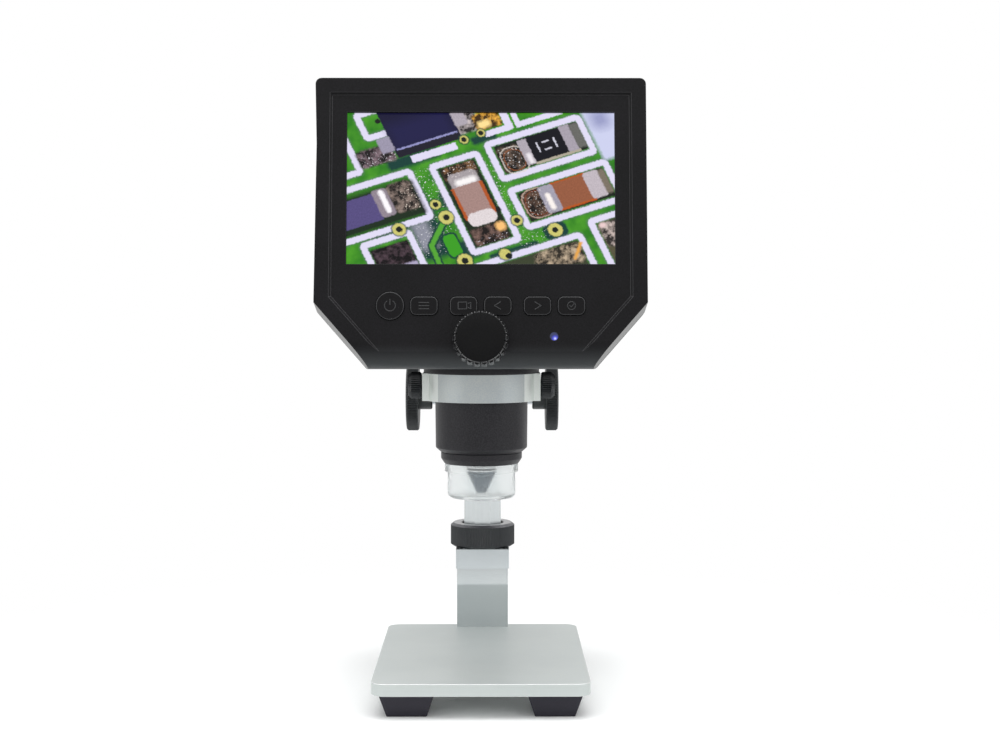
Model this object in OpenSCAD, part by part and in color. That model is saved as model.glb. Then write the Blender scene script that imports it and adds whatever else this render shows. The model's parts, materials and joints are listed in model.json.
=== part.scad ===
// Digital microscope: a display head with a focusing lens barrel, held in a ring on a
// rack-and-pinion carriage that climbs an octagonal pole. Millimetres, +Z up, the display
// faces -Y, the feet stand on z = 0 and x = 0 is the plane through the lens axis.

/* [Base plate and feet] */
// Width of the base plate
base_w = 77; // [70:0.5:90]
// Depth of the base plate, without the tab under the column
base_d = 103.5; // [98:0.5:112]
// Thickness of the base plate
base_t = 4.4; // [4:0.1:6]
// Radius of the upright corners of the plate
base_r = 5; // [2:0.5:8]
// Distance from the lens axis forward to the plate's front edge
base_front = 45; // [40:0.5:48]
// Height of a rubber foot
foot_h = 8.4; // [5:0.2:10]
// Width of a foot where it meets the plate
foot_w = 19.6; // [16:0.2:22]
// Width of a foot where it stands
foot_tip_w = 14.2; // [10:0.2:15]
// Distance from the plate's edges to a foot
foot_inset = 2.6; // [1:0.2:5]
// Radius of the peg that plugs a foot into the plate
foot_peg_r = 2.5; // [2:0.1:3.5]
// Length of that peg
foot_peg_h = 2.6; // [1.5:0.1:3]

/* [Column] */
// Width and depth of the square column
column_w = 20.8; // [20:0.2:24]
// Height of the column
column_h = 24.1; // [18:0.5:34]
// Thickness of the solid bottom of the column
column_floor = 4.6; // [4:0.2:6]
// Width and depth of the head block on the column
block_w = 21.6; // [21.2:0.2:26]
// Height of the head block
block_h = 7.8; // [6:0.2:12]
// Outer radius of the threaded spigot on the head block
spigot_r = 10; // [9.8:0.1:10.2]
// Height of the threaded spigot
spigot_h = 6.1; // [5:0.1:8]
// Height of the pressure ring that grips the pole
collet_h = 2.1; // [1.6:0.1:3]
// Outer radius of the knurled lock collar
collar_r = 13.15; // [12.6:0.05:15]
// Height of the lock collar
collar_h = 9.6; // [9.6:0.1:13]
// Thickness of the lip over the pressure ring
collar_lip = 1.4; // [1.2:0.1:1.4]
// Distance from the column's centre to its small screws, each way
column_screw_at = 8.5; // [8.4:0.05:8.7]

/* [Pole and rack] */
// Distance across the flats of the octagonal pole
pole_af = 15; // [14.6:0.1:15.2]
// Length of the pole
pole_len = 159; // [150:1:170]
// Radius of the hole along the pole
pole_bore_r = 4.5; // [3:0.1:4.8]
// Height of the plug's head on the top of the pole
plug_h = 2; // [1:0.2:3]
// Width of the rack
rack_w = 5; // [4:0.1:5.6]
// Module of the rack and of its pinion
rack_module = 0.7; // [0.6:0.05:0.8]
// Number of teeth on the pinion
pinion_teeth = 12; // [12:1:14]
// Thickness of the rack behind its teeth
rack_back = 1.3; // [1.2:0.1:2]

/* [Carriage] */
// Distance from the lens axis back to the pole's axis
throat = 63; // [60:0.5:68]
// Clear height between the lock collar and the carriage at rest
carriage_gap = 34.6; // [32:0.1:44]
// Travel of the carriage down from rest, which the rack reaches
lift_down = 30; // [24:0.5:31]
// Width of the carriage
carriage_w = 30; // [28:0.5:34]
// Height of the carriage
carriage_h = 31; // [29:0.5:36]
// Height of the pinion shaft above the carriage's underside
shaft_up = 18; // [17:0.5:19]
// Wall in front of the pinion's pocket
carriage_front_wall = 2; // [1.5:0.1:3]
// Wall behind the pole
carriage_rear_wall = 4.4; // [4:0.2:6]
// Radius of the pinion shaft
shaft_r = 3; // [2.5:0.1:3]
// Outer radius of a bush
bush_r = 4; // [3.8:0.1:4.4]
// Radius of the bush's flange
bush_flange_r = 5; // [4.8:0.1:5.6]
// Thickness of the bush's flange
bush_flange_t = 1; // [0.6:0.1:1.4]
// Length of a bush inside the carriage
bush_len = 6; // [4:0.5:8]
// Radius of a large knurled knob
knob_r = 13.5; // [11:0.1:13.6]
// Width of the knurled rim of a large knob
knob_w = 4.8; // [4:0.2:7]
// Radius of the knob's hub
hub_r = 5; // [4.4:0.1:6]
// Length of the knob's hub
hub_len = 5.3; // [3:0.1:6]
// Distance from the centre plane to the knob's hub
hub_at = 20.2; // [18:0.1:21]
// Radius of the screw that sets the pole's drag
drag_screw_r = 2.5; // [2:0.1:3]
// Height of that screw above the carriage's underside
drag_up = 9; // [7:0.5:12]

/* [Clamp ring] */
// Outer radius of the clamp ring
ring_r = 20.25; // [19.4:0.05:21]
// Height of the clamp ring
ring_h = 10.2; // [9:0.1:10.6]
// Height of the ring's underside above the carriage's underside
ring_up = 19.8; // [19.4:0.1:20.2]
// Distance from the lens axis to the flat of an ear
ear_x = 21.85; // [21.4:0.05:23]
// Width of the flat of an ear
ear_w = 12; // [8:0.5:16]
// Width of the arm between the ring and the carriage
arm_w = 15; // [12:0.5:15]
// Width of the foot that bolts the arm to the carriage
arm_foot_w = 27; // [26:0.5:27.5]
// Thickness of that foot
arm_foot_t = 4; // [3:0.2:5]
// Distance from the centre plane to an arm screw
arm_screw_x = 10.6; // [10.4:0.1:10.8]
// Radius of a clamp screw's shank
clamp_shank_r = 2; // [1.6:0.1:2.4]
// Radius of a clamp screw's knurled head
clamp_knob_r = 5; // [4:0.1:5.4]
// Thickness of that head
clamp_knob_w = 5; // [4:0.1:6]
// Gap between an ear and the head at rest
clamp_knob_gap = 0.4; // [0.3:0.1:1]
// Height of the clamp screws above the ring's underside
clamp_up = 5.5; // [4.5:0.1:6]
// Length of the brass pad at the screw's tip
pad_len = 0.7; // [0.5:0.1:1]

/* [Lens barrel] */
// Radius of the barrel inside the ring
barrel_r = 17.2; // [16.8:0.05:17.4]
// Radius of the barrel at its lower end
barrel_low_r = 17.05; // [16.6:0.05:17.2]
// Height of the barrel below the flange
barrel_h = 29.4; // [28.4:0.1:31]
// Height of the chamfer at the barrel's lower end
barrel_chamfer = 1.7; // [1:0.1:2.4]
// Radius of the neck flange
flange_r = 21.5; // [20.8:0.1:23]
// Thickness of the neck flange
flange_t = 2.5; // [2:0.1:3]
// Wall of the barrel
barrel_wall = 1.7; // [1.4:0.1:1.9]
// Thickness of the web that carries the lens guide
web_t = 2.4; // [2:0.1:3]
// Height of the lens guide, with the web
guide_h = 17.4; // [15:0.2:18]
// Wall of the lens guide
guide_wall = 2.4; // [1.6:0.1:3]
// Radius of the end ring
end_ring_r = 15.1; // [14.8:0.05:15.6]
// Radius of the end ring at its lower edge
end_ring_tip_r = 13.75; // [13.7:0.05:14.2]
// Height of the end ring
end_ring_h = 4.3; // [4:0.1:5]
// Height of the end ring's chamfer
end_ring_chamfer = 2; // [1.4:0.1:2.6]

/* [Diffuser cap] */
// Radius of the cap's rim
cap_rim_r = 13.65; // [13.5:0.05:13.7]
// Height of the cap's rim
cap_rim_h = 3; // [2:0.1:4]
// Radius of the cap's neck inside the end ring
cap_neck_r = 12.9; // [12.7:0.05:13]
// Height of the cap's neck
cap_neck_h = 2.9; // [2:0.1:3]
// Radius of the cap's body
cap_r = 12.6; // [12.4:0.05:12.8]
// Height of the cap below the end ring
cap_h = 12.8; // [12.4:0.1:16]
// Wall of the cap
cap_wall = 1.2; // [0.8:0.1:1.4]
// Radius of the rounded lower edge of the cap
cap_edge_r = 1.8; // [1.4:0.1:3]
// Radius of the opening in the bottom of the cap
cap_mouth_r = 6.5; // [6:0.1:9]

/* [LEDs and lens] */
// Thickness of the LED board
led_board_t = 1.2; // [0.8:0.1:1.4]
// Radius of the LED board
led_board_r = 12.7; // [12.4:0.05:12.8]
// Number of LEDs
led_count = 8; // [4:1:10]
// Distance from the lens axis to an LED
led_at = 9.9; // [9.7:0.1:9.9]
// Width of an LED
led_w = 2.6; // [2:0.1:2.8]
// Thickness of an LED
led_t = 1.2; // [0.8:0.1:1.3]
// Outer radius of the lens carrier
carrier_r = 8; // [7.6:0.05:8.1]
// Wall of the lens carrier
carrier_wall = 1; // [0.8:0.1:1.2]
// Length of the lens carrier
carrier_len = 28; // [27.6:0.1:28.2]
// Thickness of the lug that carries the focus rack
lug_t = 3; // [2:0.1:3]
// Radius of the objective's threaded neck
objective_r = 5.6; // [5:0.1:6]
// Height of the threaded neck
objective_neck_h = 3.5; // [2.5:0.1:4]
// Height of the objective's cone
cone_h = 7.2; // [6:0.1:7.6]
// Radius of the cone's tip
cone_tip_r = 2.05; // [1.9:0.05:2.6]
// Length of the objective inside the carrier
objective_shank = 10; // [6:0.5:14]
// Radius of the glass lens in the cone's tip
lens_r = 1.5; // [1.2:0.05:1.6]

/* [Focus drive] */
// Radius of the focus knob
focus_r = 10; // [9.4:0.1:10.4]
// Number of flutes round the focus knob
flute_count = 22; // [18:1:26]
// Radius of a flute
flute_r = 1.05; // [0.8:0.05:1.1]
// Thickness of the fluted part of the knob
focus_w = 4.8; // [4:0.1:6]
// Radius of the plain disc in front of the flutes
focus_disc_r = 7.9; // [7:0.1:8.4]
// Height of that disc
focus_disc_h = 1.6; // [1:0.1:2]
// Gap between the rim of the case and the knob
focus_gap = 1.6; // [1.2:0.1:2]
// Height of the focus shaft on the face, above the head's underside
focus_v = 10.8; // [10.6:0.1:11.4]
// Radius of the focus shaft
focus_shaft_r = 2; // [1.6:0.1:2]
// Module of the focus rack and pinion
focus_module = 0.5; // [0.5:0.05:0.6]
// Number of teeth on the focus pinion
focus_teeth = 12; // [12:1:13]
// Length of the focus pinion
focus_pinion_len = 4; // [3:0.1:4.4]
// Length of the focus rack
focus_rack_len = 21; // [20.6:0.1:22]
// Distance from the lens axis forward to the middle of the focus rack
focus_rack_y = 11.2; // [11:0.1:11.3]
// Thickness of the focus rack behind its teeth
focus_rack_back = 3; // [2:0.1:3.2]

/* [Display head] */
// Width of the head
case_w = 117.2; // [116:0.2:124]
// Height of the head, measured along its face
case_h = 104.3; // [103:0.1:112]
// Angle by which the face leans back
lean = 8; // [7.5:0.1:8.5]
// Distance from the lens axis forward to the face at its lower edge
face_front = 37.98; // [37.6:0.02:38.4]
// Width of the head's lower edge
case_foot_w = 75.2; // [74.6:0.2:84]
// Height at which the slanted lower corners end
case_side_v = 24; // [20:0.1:26]
// Radius of the head's upper corners
case_r = 2.1; // [1:0.1:4]
// Radius of the lip that curves under the face
lip_r = 9; // [8:0.1:9.2]
// Depth of the front case
front_d = 12; // [11.6:0.1:13]
// How far the slanted corners flare out over the front case
flare = 1.25; // [0:0.05:2]
// Depth of the head above the battery bulge
slab_d = 26; // [25.6:0.1:28]
// Size of the chamfer round the back
back_chamfer = 4; // [2:0.1:4.4]
// Wall of both cases
wall = 2; // [1.8:0.1:2.2]
// Width of the raised rim round the face
rim_w = 5.2; // [4:0.1:6]
// Depth of the recess inside the rim
recess_d = 0.8; // [0.5:0.1:1]
// Slope of the recess's edge, sideways
recess_bevel = 0.8; // [0.4:0.1:1.2]
// Thickness of the front wall behind the recess
front_wall = 1.8; // [1.5:0.1:2]
// Width of the battery bulge
bulge_w = 76; // [75:0.5:78]
// Distance from the lens axis back to the rear of the bulge
bulge_y = 24.5; // [24:0.5:26]
// Height of the bulge above the head's underside where its top slope begins
bulge_h = 46; // [45:0.5:48]
// Height of the slope above that
bulge_slope_h = 20; // [16:0.5:22]
// Chamfer on the upright edges of the bulge
bulge_chamfer = 2; // [1:0.1:2]
// Number of vent slots in the back
vent_count = 6; // [3:1:7]
// Distance from one vent slot to the next
vent_pitch = 3.4; // [2.8:0.1:3.6]
// Width of a vent slot
vent_w = 44; // [30:1:50]
// Height of a vent slot
vent_h = 1.6; // [1:0.1:2]
// Distance from the head's top edge to the upper vent slot
vent_down = 13; // [12:0.5:16]
// Radius of the posts that the case's screws go into
post_r = 3; // [2.6:0.1:3.4]

/* [Display and boards] */
// Width of the case's border beside the display opening
side_border = 11.2; // [10.5:0.05:13]
// Height of the border above the opening
top_border = 12.15; // [11.5:0.05:14]
// Height of the border below the opening
low_border = 37.65; // [37:0.05:40]
// How far the display's glass laps behind the border
glass_lap = 1.65; // [1:0.05:2.4]
// How far the display panel laps behind the border at its sides
panel_lap = 4.9; // [3:0.1:5]
// How far the display panel laps behind the border above and below
panel_lap_v = 5; // [3:0.1:5]
// Thickness of the display panel
panel_t = 2.6; // [2:0.1:3]
// Thickness of the display's glass
glass_t = 0.7; // [0.5:0.1:1.1]
// Thickness of a circuit board
board_t = 1.6; // [1:0.1:1.8]
// Width of the sensor board
sensor_board_w = 22; // [20:0.5:24]
// Depth of the sensor board
sensor_board_d = 23; // [21:0.5:24]
// Height of the sensor board above the floor of the head
sensor_up = 3.5; // [3.4:0.1:4]
// Width of the sensor
sensor_w = 9; // [8:0.5:10]
// Thickness of the sensor
sensor_t = 1.4; // [1:0.1:1.4]

/* [Buttons and light] */
// Height of the button row on the face
button_v = 22.8; // [22.6:0.1:23.4]
// Width of a button
button_w = 9.6; // [9:0.1:10]
// Height of a button
button_h = 6.5; // [5.5:0.1:7]
// Corner radius of a button
button_r = 2.1; // [1:0.1:2.8]
// Radius of the round power button
power_r = 4.95; // [4.4:0.05:5.1]
// Distance from the centre plane to the inner, middle and outer buttons
button_xs = [6, 19.9, 31.8];
// How far a button stands out of the recess
button_out = 0.6; // [0.4:0.1:0.8]
// Travel of a button
button_travel = 0.4; // [0.2:0.05:0.5]
// Distance from the centre plane to the status LED
led_x = 25.7; // [24:0.1:28]
// Height of the status LED on the face
led_v = 12.1; // [11.8:0.1:13]
// Radius of the status LED
status_led_r = 1.4; // [1:0.05:1.6]

/* [Battery, card and dimmer] */
// Radius of the battery cell
cell_r = 9.2; // [8.8:0.05:9.2]
// Length of the battery cell
cell_len = 65; // [63:0.5:65.4]
// Width of the battery door
door_w = 66.8; // [66:0.2:67.4]
// Height of the battery door
door_h = 22; // [20:0.5:22.5]
// Thickness of the battery door
door_t = 1.8; // [1.4:0.1:1.8]
// Height of the door's lower edge above the head's underside
door_up = 20.5; // [20:0.5:21.5]
// Radius of the door's hinge pins
door_pin_r = 0.7; // [0.5:0.05:0.8]
// Length of a memory card
card_len = 15; // [14:0.5:15]
// Width of a memory card
card_w = 11; // [10:0.5:12]
// Thickness of a memory card
card_t = 0.9; // [0.7:0.1:1]
// Width of the charging socket
usb_w = 8; // [7:0.1:9]
// Height of the charging socket
usb_h = 3; // [2.6:0.1:3.2]
// Depth of the charging socket
usb_d = 6; // [5:0.1:7]
// Radius of the dimmer wheel
dimmer_r = 7; // [6:0.1:7.2]
// Thickness of the dimmer wheel
dimmer_t = 3; // [2:0.1:3.2]
// How far the dimmer wheel stands out of the case
dimmer_out = 1.3; // [0.8:0.1:1.8]
// Width of the potentiometer under the wheel
pot_w = 7; // [6:0.2:7]

/* [Knurling] */
// Depth of the knurling
knurl_d = 0.35; // [0.25:0.05:0.5]
// Number of ribs round a large knob and round the lock collar
knurl_count = 60; // [48:2:72]
// Chamfer on both edges of a knurled knob
knob_chamfer = 0.8; // [0.5:0.05:1]

/* [Screws] */
// Radius of the screws under the column
base_screw_r = 1.5; // [1.2:0.1:1.8]
// Depth to which their heads are sunk
base_screw_sink = 2.2; // [2:0.1:2.6]
// Distance from the centre plane to such a screw
base_screw_x = 5; // [4:0.1:6]
// Radius of the screws in the head block
column_screw_r = 1; // [0.8:0.05:1]
// Depth to which their heads are sunk
column_screw_sink = 2.2; // [1.6:0.1:3]
// Length of these screws in the column
column_screw_grip = 6; // [4:0.5:8]
// Radius of the rack's screws
rack_screw_r = 1; // [0.8:0.05:1]
// Radius of the arm's screws
arm_screw_r = 1.5; // [1.2:0.1:1.6]
// Length of these screws in the carriage
arm_screw_grip = 7; // [5:0.5:8]
// Radius of the case's screws
case_screw_r = 1.25; // [1:0.05:1.3]
// Depth to which their heads are sunk
case_screw_sink = 7; // [5:0.5:8]

/* [Fits] */
// Gap round a shaft or a sliding piece that moves in a bore
run_gap = 0.05; // [0.03:0.01:0.08]
// Gap round a piece that is pressed or screwed home
seat_gap = 0.02; // [0.01:0.01:0.03]
// Gap at each flat of the pole in its guides
pole_gap = 0.1; // [0.06:0.01:0.14]
// Gap round covers, buttons and cards
cover_gap = 0.2; // [0.12:0.01:0.25]
// Play taken off each gear tooth
tooth_play = 0.12; // [0.08:0.01:0.16]

/* [Hidden] */
$fn = 48;

// Rest heights, from the table up.
stage_z = foot_h + base_t;
column_top = stage_z + column_h;
block_top = column_top + block_h;
spigot_top = block_top + spigot_h;
collar_z = block_top + 0.3;
collet_z = spigot_top + 0.1;
collar_top = collar_z + collar_h;
pole_z = stage_z + column_floor + 0.8;
pole_top = pole_z + pole_len;
carriage_z = collar_top + carriage_gap;
shaft_z = carriage_z + shaft_up;
ring_z = carriage_z + ring_up;
ring_top = ring_z + ring_h;
head_z = ring_top + flange_t;
barrel_z = ring_top - barrel_h;
cap_z = barrel_z - end_ring_h;
cap_bottom = cap_z - cap_h;
carrier_z = cap_z - 0.3;
carrier_top = carrier_z + carrier_len;

// Gears: pressure angle, and a tooth's height above and below the pitch line in modules.
pressure_angle = 25;
tooth_top = 0.9;
tooth_root = 1.15;

// The stand's places along Y, from the lens axis.
tooth_half = PI / 4 * rack_module;
pinion_r = rack_module * pinion_teeth / 2;
rack_depth = rack_back + (tooth_root + tooth_top) * rack_module;
rack_gap = 0.4;
rack_seat = 0.4 * rack_back;
rack_pitch_y = throat - pole_af / 2 - rack_back - tooth_root * rack_module;
shaft_y = rack_pitch_y - pinion_r;
pocket_r = pinion_r + rack_module + rack_gap;
carriage_front = shaft_y - pocket_r - carriage_front_wall;
carriage_rear = throat + pole_af / 2 + carriage_rear_wall;
rear_reach = max(carriage_rear, throat + block_w / 2, throat + collar_r);
knob_reach = (focus_gap + focus_w + focus_disc_h) * cos(lean) + focus_disc_r * sin(lean);
front_reach = max(base_front, face_front - focus_v * sin(lean) + knob_reach);
lens_y = (front_reach - rear_reach) / 2;

// Where a clamp pad stands off the barrel.
pad_x = barrel_r + run_gap + 0.03;

// The head's face.
slant = atan2(case_side_v, (case_w - case_foot_w) / 2);
lip_run = lip_r * (1 + sin(lean)) / cos(lean);
lip_y = -face_front + lip_run * sin(lean) + lip_r * cos(lean);
lip_z = head_z + lip_r;
screen_w = case_w - 2 * side_border;
screen_h = case_h - top_border - low_border;
screen_v = low_border + screen_h / 2;
back_w = recess_d + front_wall;
panel_w0 = back_w + run_gap;
focus_boss_w = 9;
led_boss_w = 6;
board_w0 = front_d + 1.5;
socket_w0 = board_w0 + board_t;
button_board_w = 7;
button_board_h = 10.8;
button_boss_x = button_xs[2] + 7.95;
switch_w = 6;
switch_w0 = 4.6;
stem_r = 1.5;
cell_y = bulge_y - door_t - cell_r - 4 * cover_gap;
door_z = head_z + door_up;
door_top = door_z + door_h;
door_barrel_r = door_t / 2 + 0.2;
door_axis_y = bulge_y - door_barrel_r;
door_axis_z = door_top - door_barrel_r;
door_pin_len = 1.6;
cell_z = door_z + door_h / 2;
dimmer_x = bulge_w / 2 + dimmer_out - dimmer_r;
dimmer_y = 6;
dimmer_z = head_z + 11.5;
dimmer_slot = 2 * (sqrt(pow(dimmer_r, 2) - pow(dimmer_r - dimmer_out - wall, 2)) + cover_gap);
pot_pin_r = 1.5;
card_v = 80;
card_lift = 1;
usb_v = 58;
case_posts = [[case_w / 2 - 9.2, case_h - 4.5], [case_w / 2 - 8.2, 27]];

// Places on the main board: chips as [x, v, width, height, thickness] from its centre.
board_left = -case_w / 2 + wall + 1.2;
board_right = case_w / 2 - 13.2;
board_low = 34;
board_high = case_h - 8.5;
board_post_x = board_right - 6;
board_posts_v = [board_low + 6, board_high - 5];
board_post_r = 2.5;
chips = [[4, 4, 14, 14, 1.4], [24, 5, 10, 8, 1.2], [-13, -16, 8, 6, 1]];
sensor_z = head_z + wall + sensor_up;
sensor_back = 4;
sensor_posts = [sensor_board_w / 2 - 2, sensor_board_d / 2 - 2];

// The focus drive.
focus_pitch_r = focus_module * focus_teeth / 2;
focus_axis_y = -face_front + focus_v * sin(lean);
focus_axis_z = head_z + focus_v * cos(lean);
focus_mid_w = (-focus_rack_y - focus_axis_y) / cos(lean);
focus_mid_z = focus_axis_z - focus_mid_w * sin(lean);
bar_x0 = focus_pitch_r + tooth_root * focus_module;
bar_x1 = bar_x0 + focus_rack_back;

// ---- helpers -------------------------------------------------------------------------

module at_lens(z = 0) {
    translate([0, lens_y, z]) children();
}

module at_pole(z = 0) {
    translate([0, lens_y + throat, z]) children();
}

module mirrored_x() {
    for (side = [0, 1]) mirror([side, 0, 0]) children();
}

// Face frame: x across, y into the head, z up along the leaning face.
module on_face() {
    translate([0, lens_y - face_front, head_z]) rotate([-lean, 0, 0]) children();
}

module rounded_square(w, d, r) {
    square([w - 2 * r, d], center = true);
    square([w, d - 2 * r], center = true);
    for (x = [-1, 1], y = [-1, 1])
        translate([x * (w / 2 - r), y * (d / 2 - r)]) circle(r = r);
}

module octagon(flats) {
    rotate(22.5) circle(r = flats / 2 / cos(22.5), $fn = 8);
}

// A cylinder along +X from x = 0.
module bar_x(r, len) {
    rotate([0, 90, 0]) cylinder(r = r, h = len);
}

// A cylinder that goes into the face, from depth w0 to depth w1.
module bar_w(r, w0, w1) {
    translate([0, w0, 0]) rotate([-90, 0, 0]) cylinder(r = r, h = w1 - w0);
}

module centred_box(w, d, h) {
    translate([-w / 2, -d / 2, 0]) cube([w, d, h]);
}

// Solid between two outlines with as many points each, at depths w0 and w1 behind the face.
module prism(front, w0, back, w1) {
    n = len(front);
    polyhedron(
        points = concat([for (p = front) [p.x, w0, p.y]], [for (p = back) [p.x, w1, p.y]]),
        faces = concat(
            [[for (i = [n - 1 : -1 : 0]) i]],
            [[for (i = [0 : n - 1]) n + i]],
            [for (i = [0 : n - 1]) [i, (i + 1) % n, n + (i + 1) % n, n + i]]
        )
    );
}

function screw_head_r(shank_r) = 1.8 * shank_r;

// Socket head screw: the head sits on z = 0, the shank goes down.
module cap_screw(shank_r, shank_len, head_h) {
    difference() {
        cylinder(r = screw_head_r(shank_r), h = head_h);
        translate([0, 0, head_h / 2]) cylinder(r = 0.9 * shank_r, h = head_h, $fn = 6);
    }
    translate([0, 0, -shank_len]) cylinder(r = shank_r, h = shank_len + head_h / 4);
}

module knurled_disc(r, count, h) {
    points = [
        for (i = [0 : 2 * count - 1])
            let (a = i * 180 / count, q = i % 2 == 0 ? r : r - knurl_d)
            [q * cos(a), q * sin(a)]
    ];
    linear_extrude(height = h) polygon(points);
}

// A knurled disc with both its edges chamfered. The cones run past the knurling's crests.
module knurled_knob(r, count, h, chamfer) {
    past = 0.5;
    intersection() {
        knurled_disc(r, count, h);
        rotate_extrude() polygon([
            [0, 0], [r - chamfer, 0], [r + past, chamfer + past],
            [r + past, h - chamfer - past], [r - chamfer, h], [0, h]
        ]);
    }
}

// Involute gear outline. A tooth's half angle shrinks with the radius as the involute does.
function inv(a) = tan(a) * 180 / PI - a;
function half_angle(rho, pitch_r, thick) =
    thick / 2 / pitch_r * 180 / PI + inv(pressure_angle)
    - inv(acos(min(1, pitch_r * cos(pressure_angle) / rho)));
function gear_points(m, teeth, thick) =
    let (
        pitch_r = m * teeth / 2,
        base_r = pitch_r * cos(pressure_angle),
        root_r = pitch_r - tooth_root * m,
        tip_r = pitch_r + tooth_top * m,
        low_r = max(base_r, root_r),
        steps = 4,
        flank = [for (s = [0 : steps]) low_r + (tip_r - low_r) * s / steps],
        root_half = half_angle(low_r, pitch_r, thick)
    )
    [
        for (i = [0 : teeth - 1])
            let (a = i * 360 / teeth)
            each concat(
                [[root_r * cos(a - root_half), root_r * sin(a - root_half)]],
                [for (rho = flank) let (h = a - half_angle(rho, pitch_r, thick))
                    [rho * cos(h), rho * sin(h)]],
                [for (s = [steps : -1 : 0])
                    let (rho = flank[s], h = a + half_angle(rho, pitch_r, thick))
                    [rho * cos(h), rho * sin(h)]],
                [[root_r * cos(a + root_half), root_r * sin(a + root_half)]]
            )
    ];

// One rack tooth that points along -X, its root line on x = 0.
module rack_tooth(m, thick, root_overlap) {
    slope = tan(pressure_angle);
    low = thick / 2 + tooth_root * m * slope;
    high = thick / 2 - tooth_top * m * slope;
    depth = (tooth_root + tooth_top) * m;
    polygon([[root_overlap, -low], [0, -low], [-depth, -high], [-depth, high], [0, low],
        [root_overlap, low]]);
}

// ---- stand ---------------------------------------------------------------------------

module foot_places() {
    x = base_w / 2 - foot_inset - foot_w / 2;
    y0 = -base_front + foot_inset + foot_w / 2;
    y1 = -base_front + base_d - foot_inset - foot_w / 2;
    for (side = [-1, 1], y = [y0, y1]) at_lens() translate([side * x, y, 0]) children();
}

module base_screw_places() {
    for (side = [-1, 1]) at_pole() translate([side * base_screw_x, 0, 0]) children();
}

module base_plate() {
    tab_rear = throat + column_w / 2;
    plate_rear = base_d - base_front;
    color("silver") difference() {
        union() {
            at_lens(foot_h) translate([0, plate_rear - base_d / 2, 0])
                linear_extrude(height = base_t) rounded_square(base_w, base_d, base_r);
            at_lens(foot_h) translate([-column_w / 2, plate_rear - base_r, 0])
                cube([column_w, tab_rear - plate_rear + base_r, base_t]);
        }
        foot_places() translate([0, 0, foot_h - 1]) cylinder(r = foot_peg_r, h = foot_peg_h + 1 + seat_gap);
        base_screw_places() {
            translate([0, 0, foot_h - 1]) cylinder(r = base_screw_r + cover_gap, h = base_t + 2);
            translate([0, 0, foot_h - 1])
                cylinder(r = screw_head_r(base_screw_r) + cover_gap, h = base_screw_sink + 1);
        }
    }
}

module base_feet() {
    side_profile = [[-foot_tip_w / 2, 0], [foot_tip_w / 2, 0], [foot_w / 2, foot_h], [-foot_w / 2, foot_h]];
    color("#33353a") foot_places() {
        intersection() {
            rotate([90, 0, 0]) linear_extrude(height = foot_w, center = true) polygon(side_profile);
            rotate([90, 0, 90]) linear_extrude(height = foot_w, center = true) polygon(side_profile);
        }
        translate([0, 0, foot_h]) cylinder(r = foot_peg_r - seat_gap, h = foot_peg_h);
    }
}

module base_screws() {
    grip = base_t - base_screw_sink + column_floor - 0.6;
    color("dimgray") base_screw_places() translate([0, 0, foot_h + base_screw_sink])
        mirror([0, 0, 1]) cap_screw(base_screw_r, grip, 1.2 * base_screw_r);
}

module column() {
    color("#b4c0be") difference() {
        at_pole(stage_z) centred_box(column_w, column_w, column_h);
        at_pole(stage_z + column_floor) linear_extrude(height = column_h) octagon(pole_af + 2 * pole_gap);
        base_screw_places() translate([0, 0, stage_z - 1])
            cylinder(r = base_screw_r + seat_gap, h = column_floor + 2);
        column_screw_places() translate([0, 0, column_top - column_screw_grip - 1])
            cylinder(r = column_screw_r + seat_gap, h = column_screw_grip + 2);
    }
}

module column_screw_places() {
    for (x = [-1, 1], y = [-1, 1])
        at_pole() translate([x * column_screw_at, y * column_screw_at, 0]) children();
}

module column_head() {
    color("#bec6c7") difference() {
        union() {
            at_pole(column_top) centred_box(block_w, block_w, block_h);
            at_pole(block_top - 1) cylinder(r = spigot_r, h = spigot_h + 1);
        }
        at_pole(column_top - 1) linear_extrude(height = block_h + spigot_h + 2)
            octagon(pole_af + 2 * pole_gap);
        column_screw_places() {
            translate([0, 0, column_top - 1]) cylinder(r = column_screw_r + seat_gap, h = block_h + 2);
            translate([0, 0, block_top - column_screw_sink])
                cylinder(r = screw_head_r(column_screw_r) + run_gap, h = column_screw_sink + 1);
        }
    }
}

module column_screws() {
    grip = block_h - column_screw_sink + column_screw_grip;
    color("dimgray") column_screw_places() translate([0, 0, block_top - column_screw_sink])
        cap_screw(column_screw_r, grip, 1.8 * column_screw_r);
}

module collet_ring() {
    color("ivory") difference() {
        at_pole(collet_z) cylinder(r = spigot_r, h = collet_h);
        at_pole(collet_z - 1) linear_extrude(height = collet_h + 2) octagon(pole_af + 2 * pole_gap);
    }
}

module lock_collar() {
    bore_r = spigot_r + run_gap;
    well_h = collar_h - collar_lip;
    color("#33363b") difference() {
        at_pole(collar_z) knurled_knob(collar_r, knurl_count, collar_h, knob_chamfer);
        at_pole(collar_z - 1) cylinder(r = bore_r, h = well_h + 1);
        at_pole(collar_z) cylinder(r = pole_af / 2 / cos(22.5) + 0.5, h = collar_h + 1);
    }
}

module rack_screw_places() {
    for (z = [shaft_z - lift_down, pole_top - 6]) at_pole(z) children();
}

module pole() {
    color("#cdd4d4") difference() {
        at_pole(pole_z) linear_extrude(height = pole_len) octagon(pole_af);
        at_pole(pole_z - 1) cylinder(r = pole_bore_r, h = pole_len + 2);
        rack_screw_places() rotate([90, 0, 0]) cylinder(r = rack_screw_r + seat_gap, h = pole_af);
    }
}

module pole_plug() {
    color("#222428") {
        at_pole(pole_top) linear_extrude(height = plug_h) octagon(pole_af);
        at_pole(pole_top - 2.5 * plug_h) cylinder(r = pole_bore_r - seat_gap, h = 3 * plug_h);
    }
}

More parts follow.
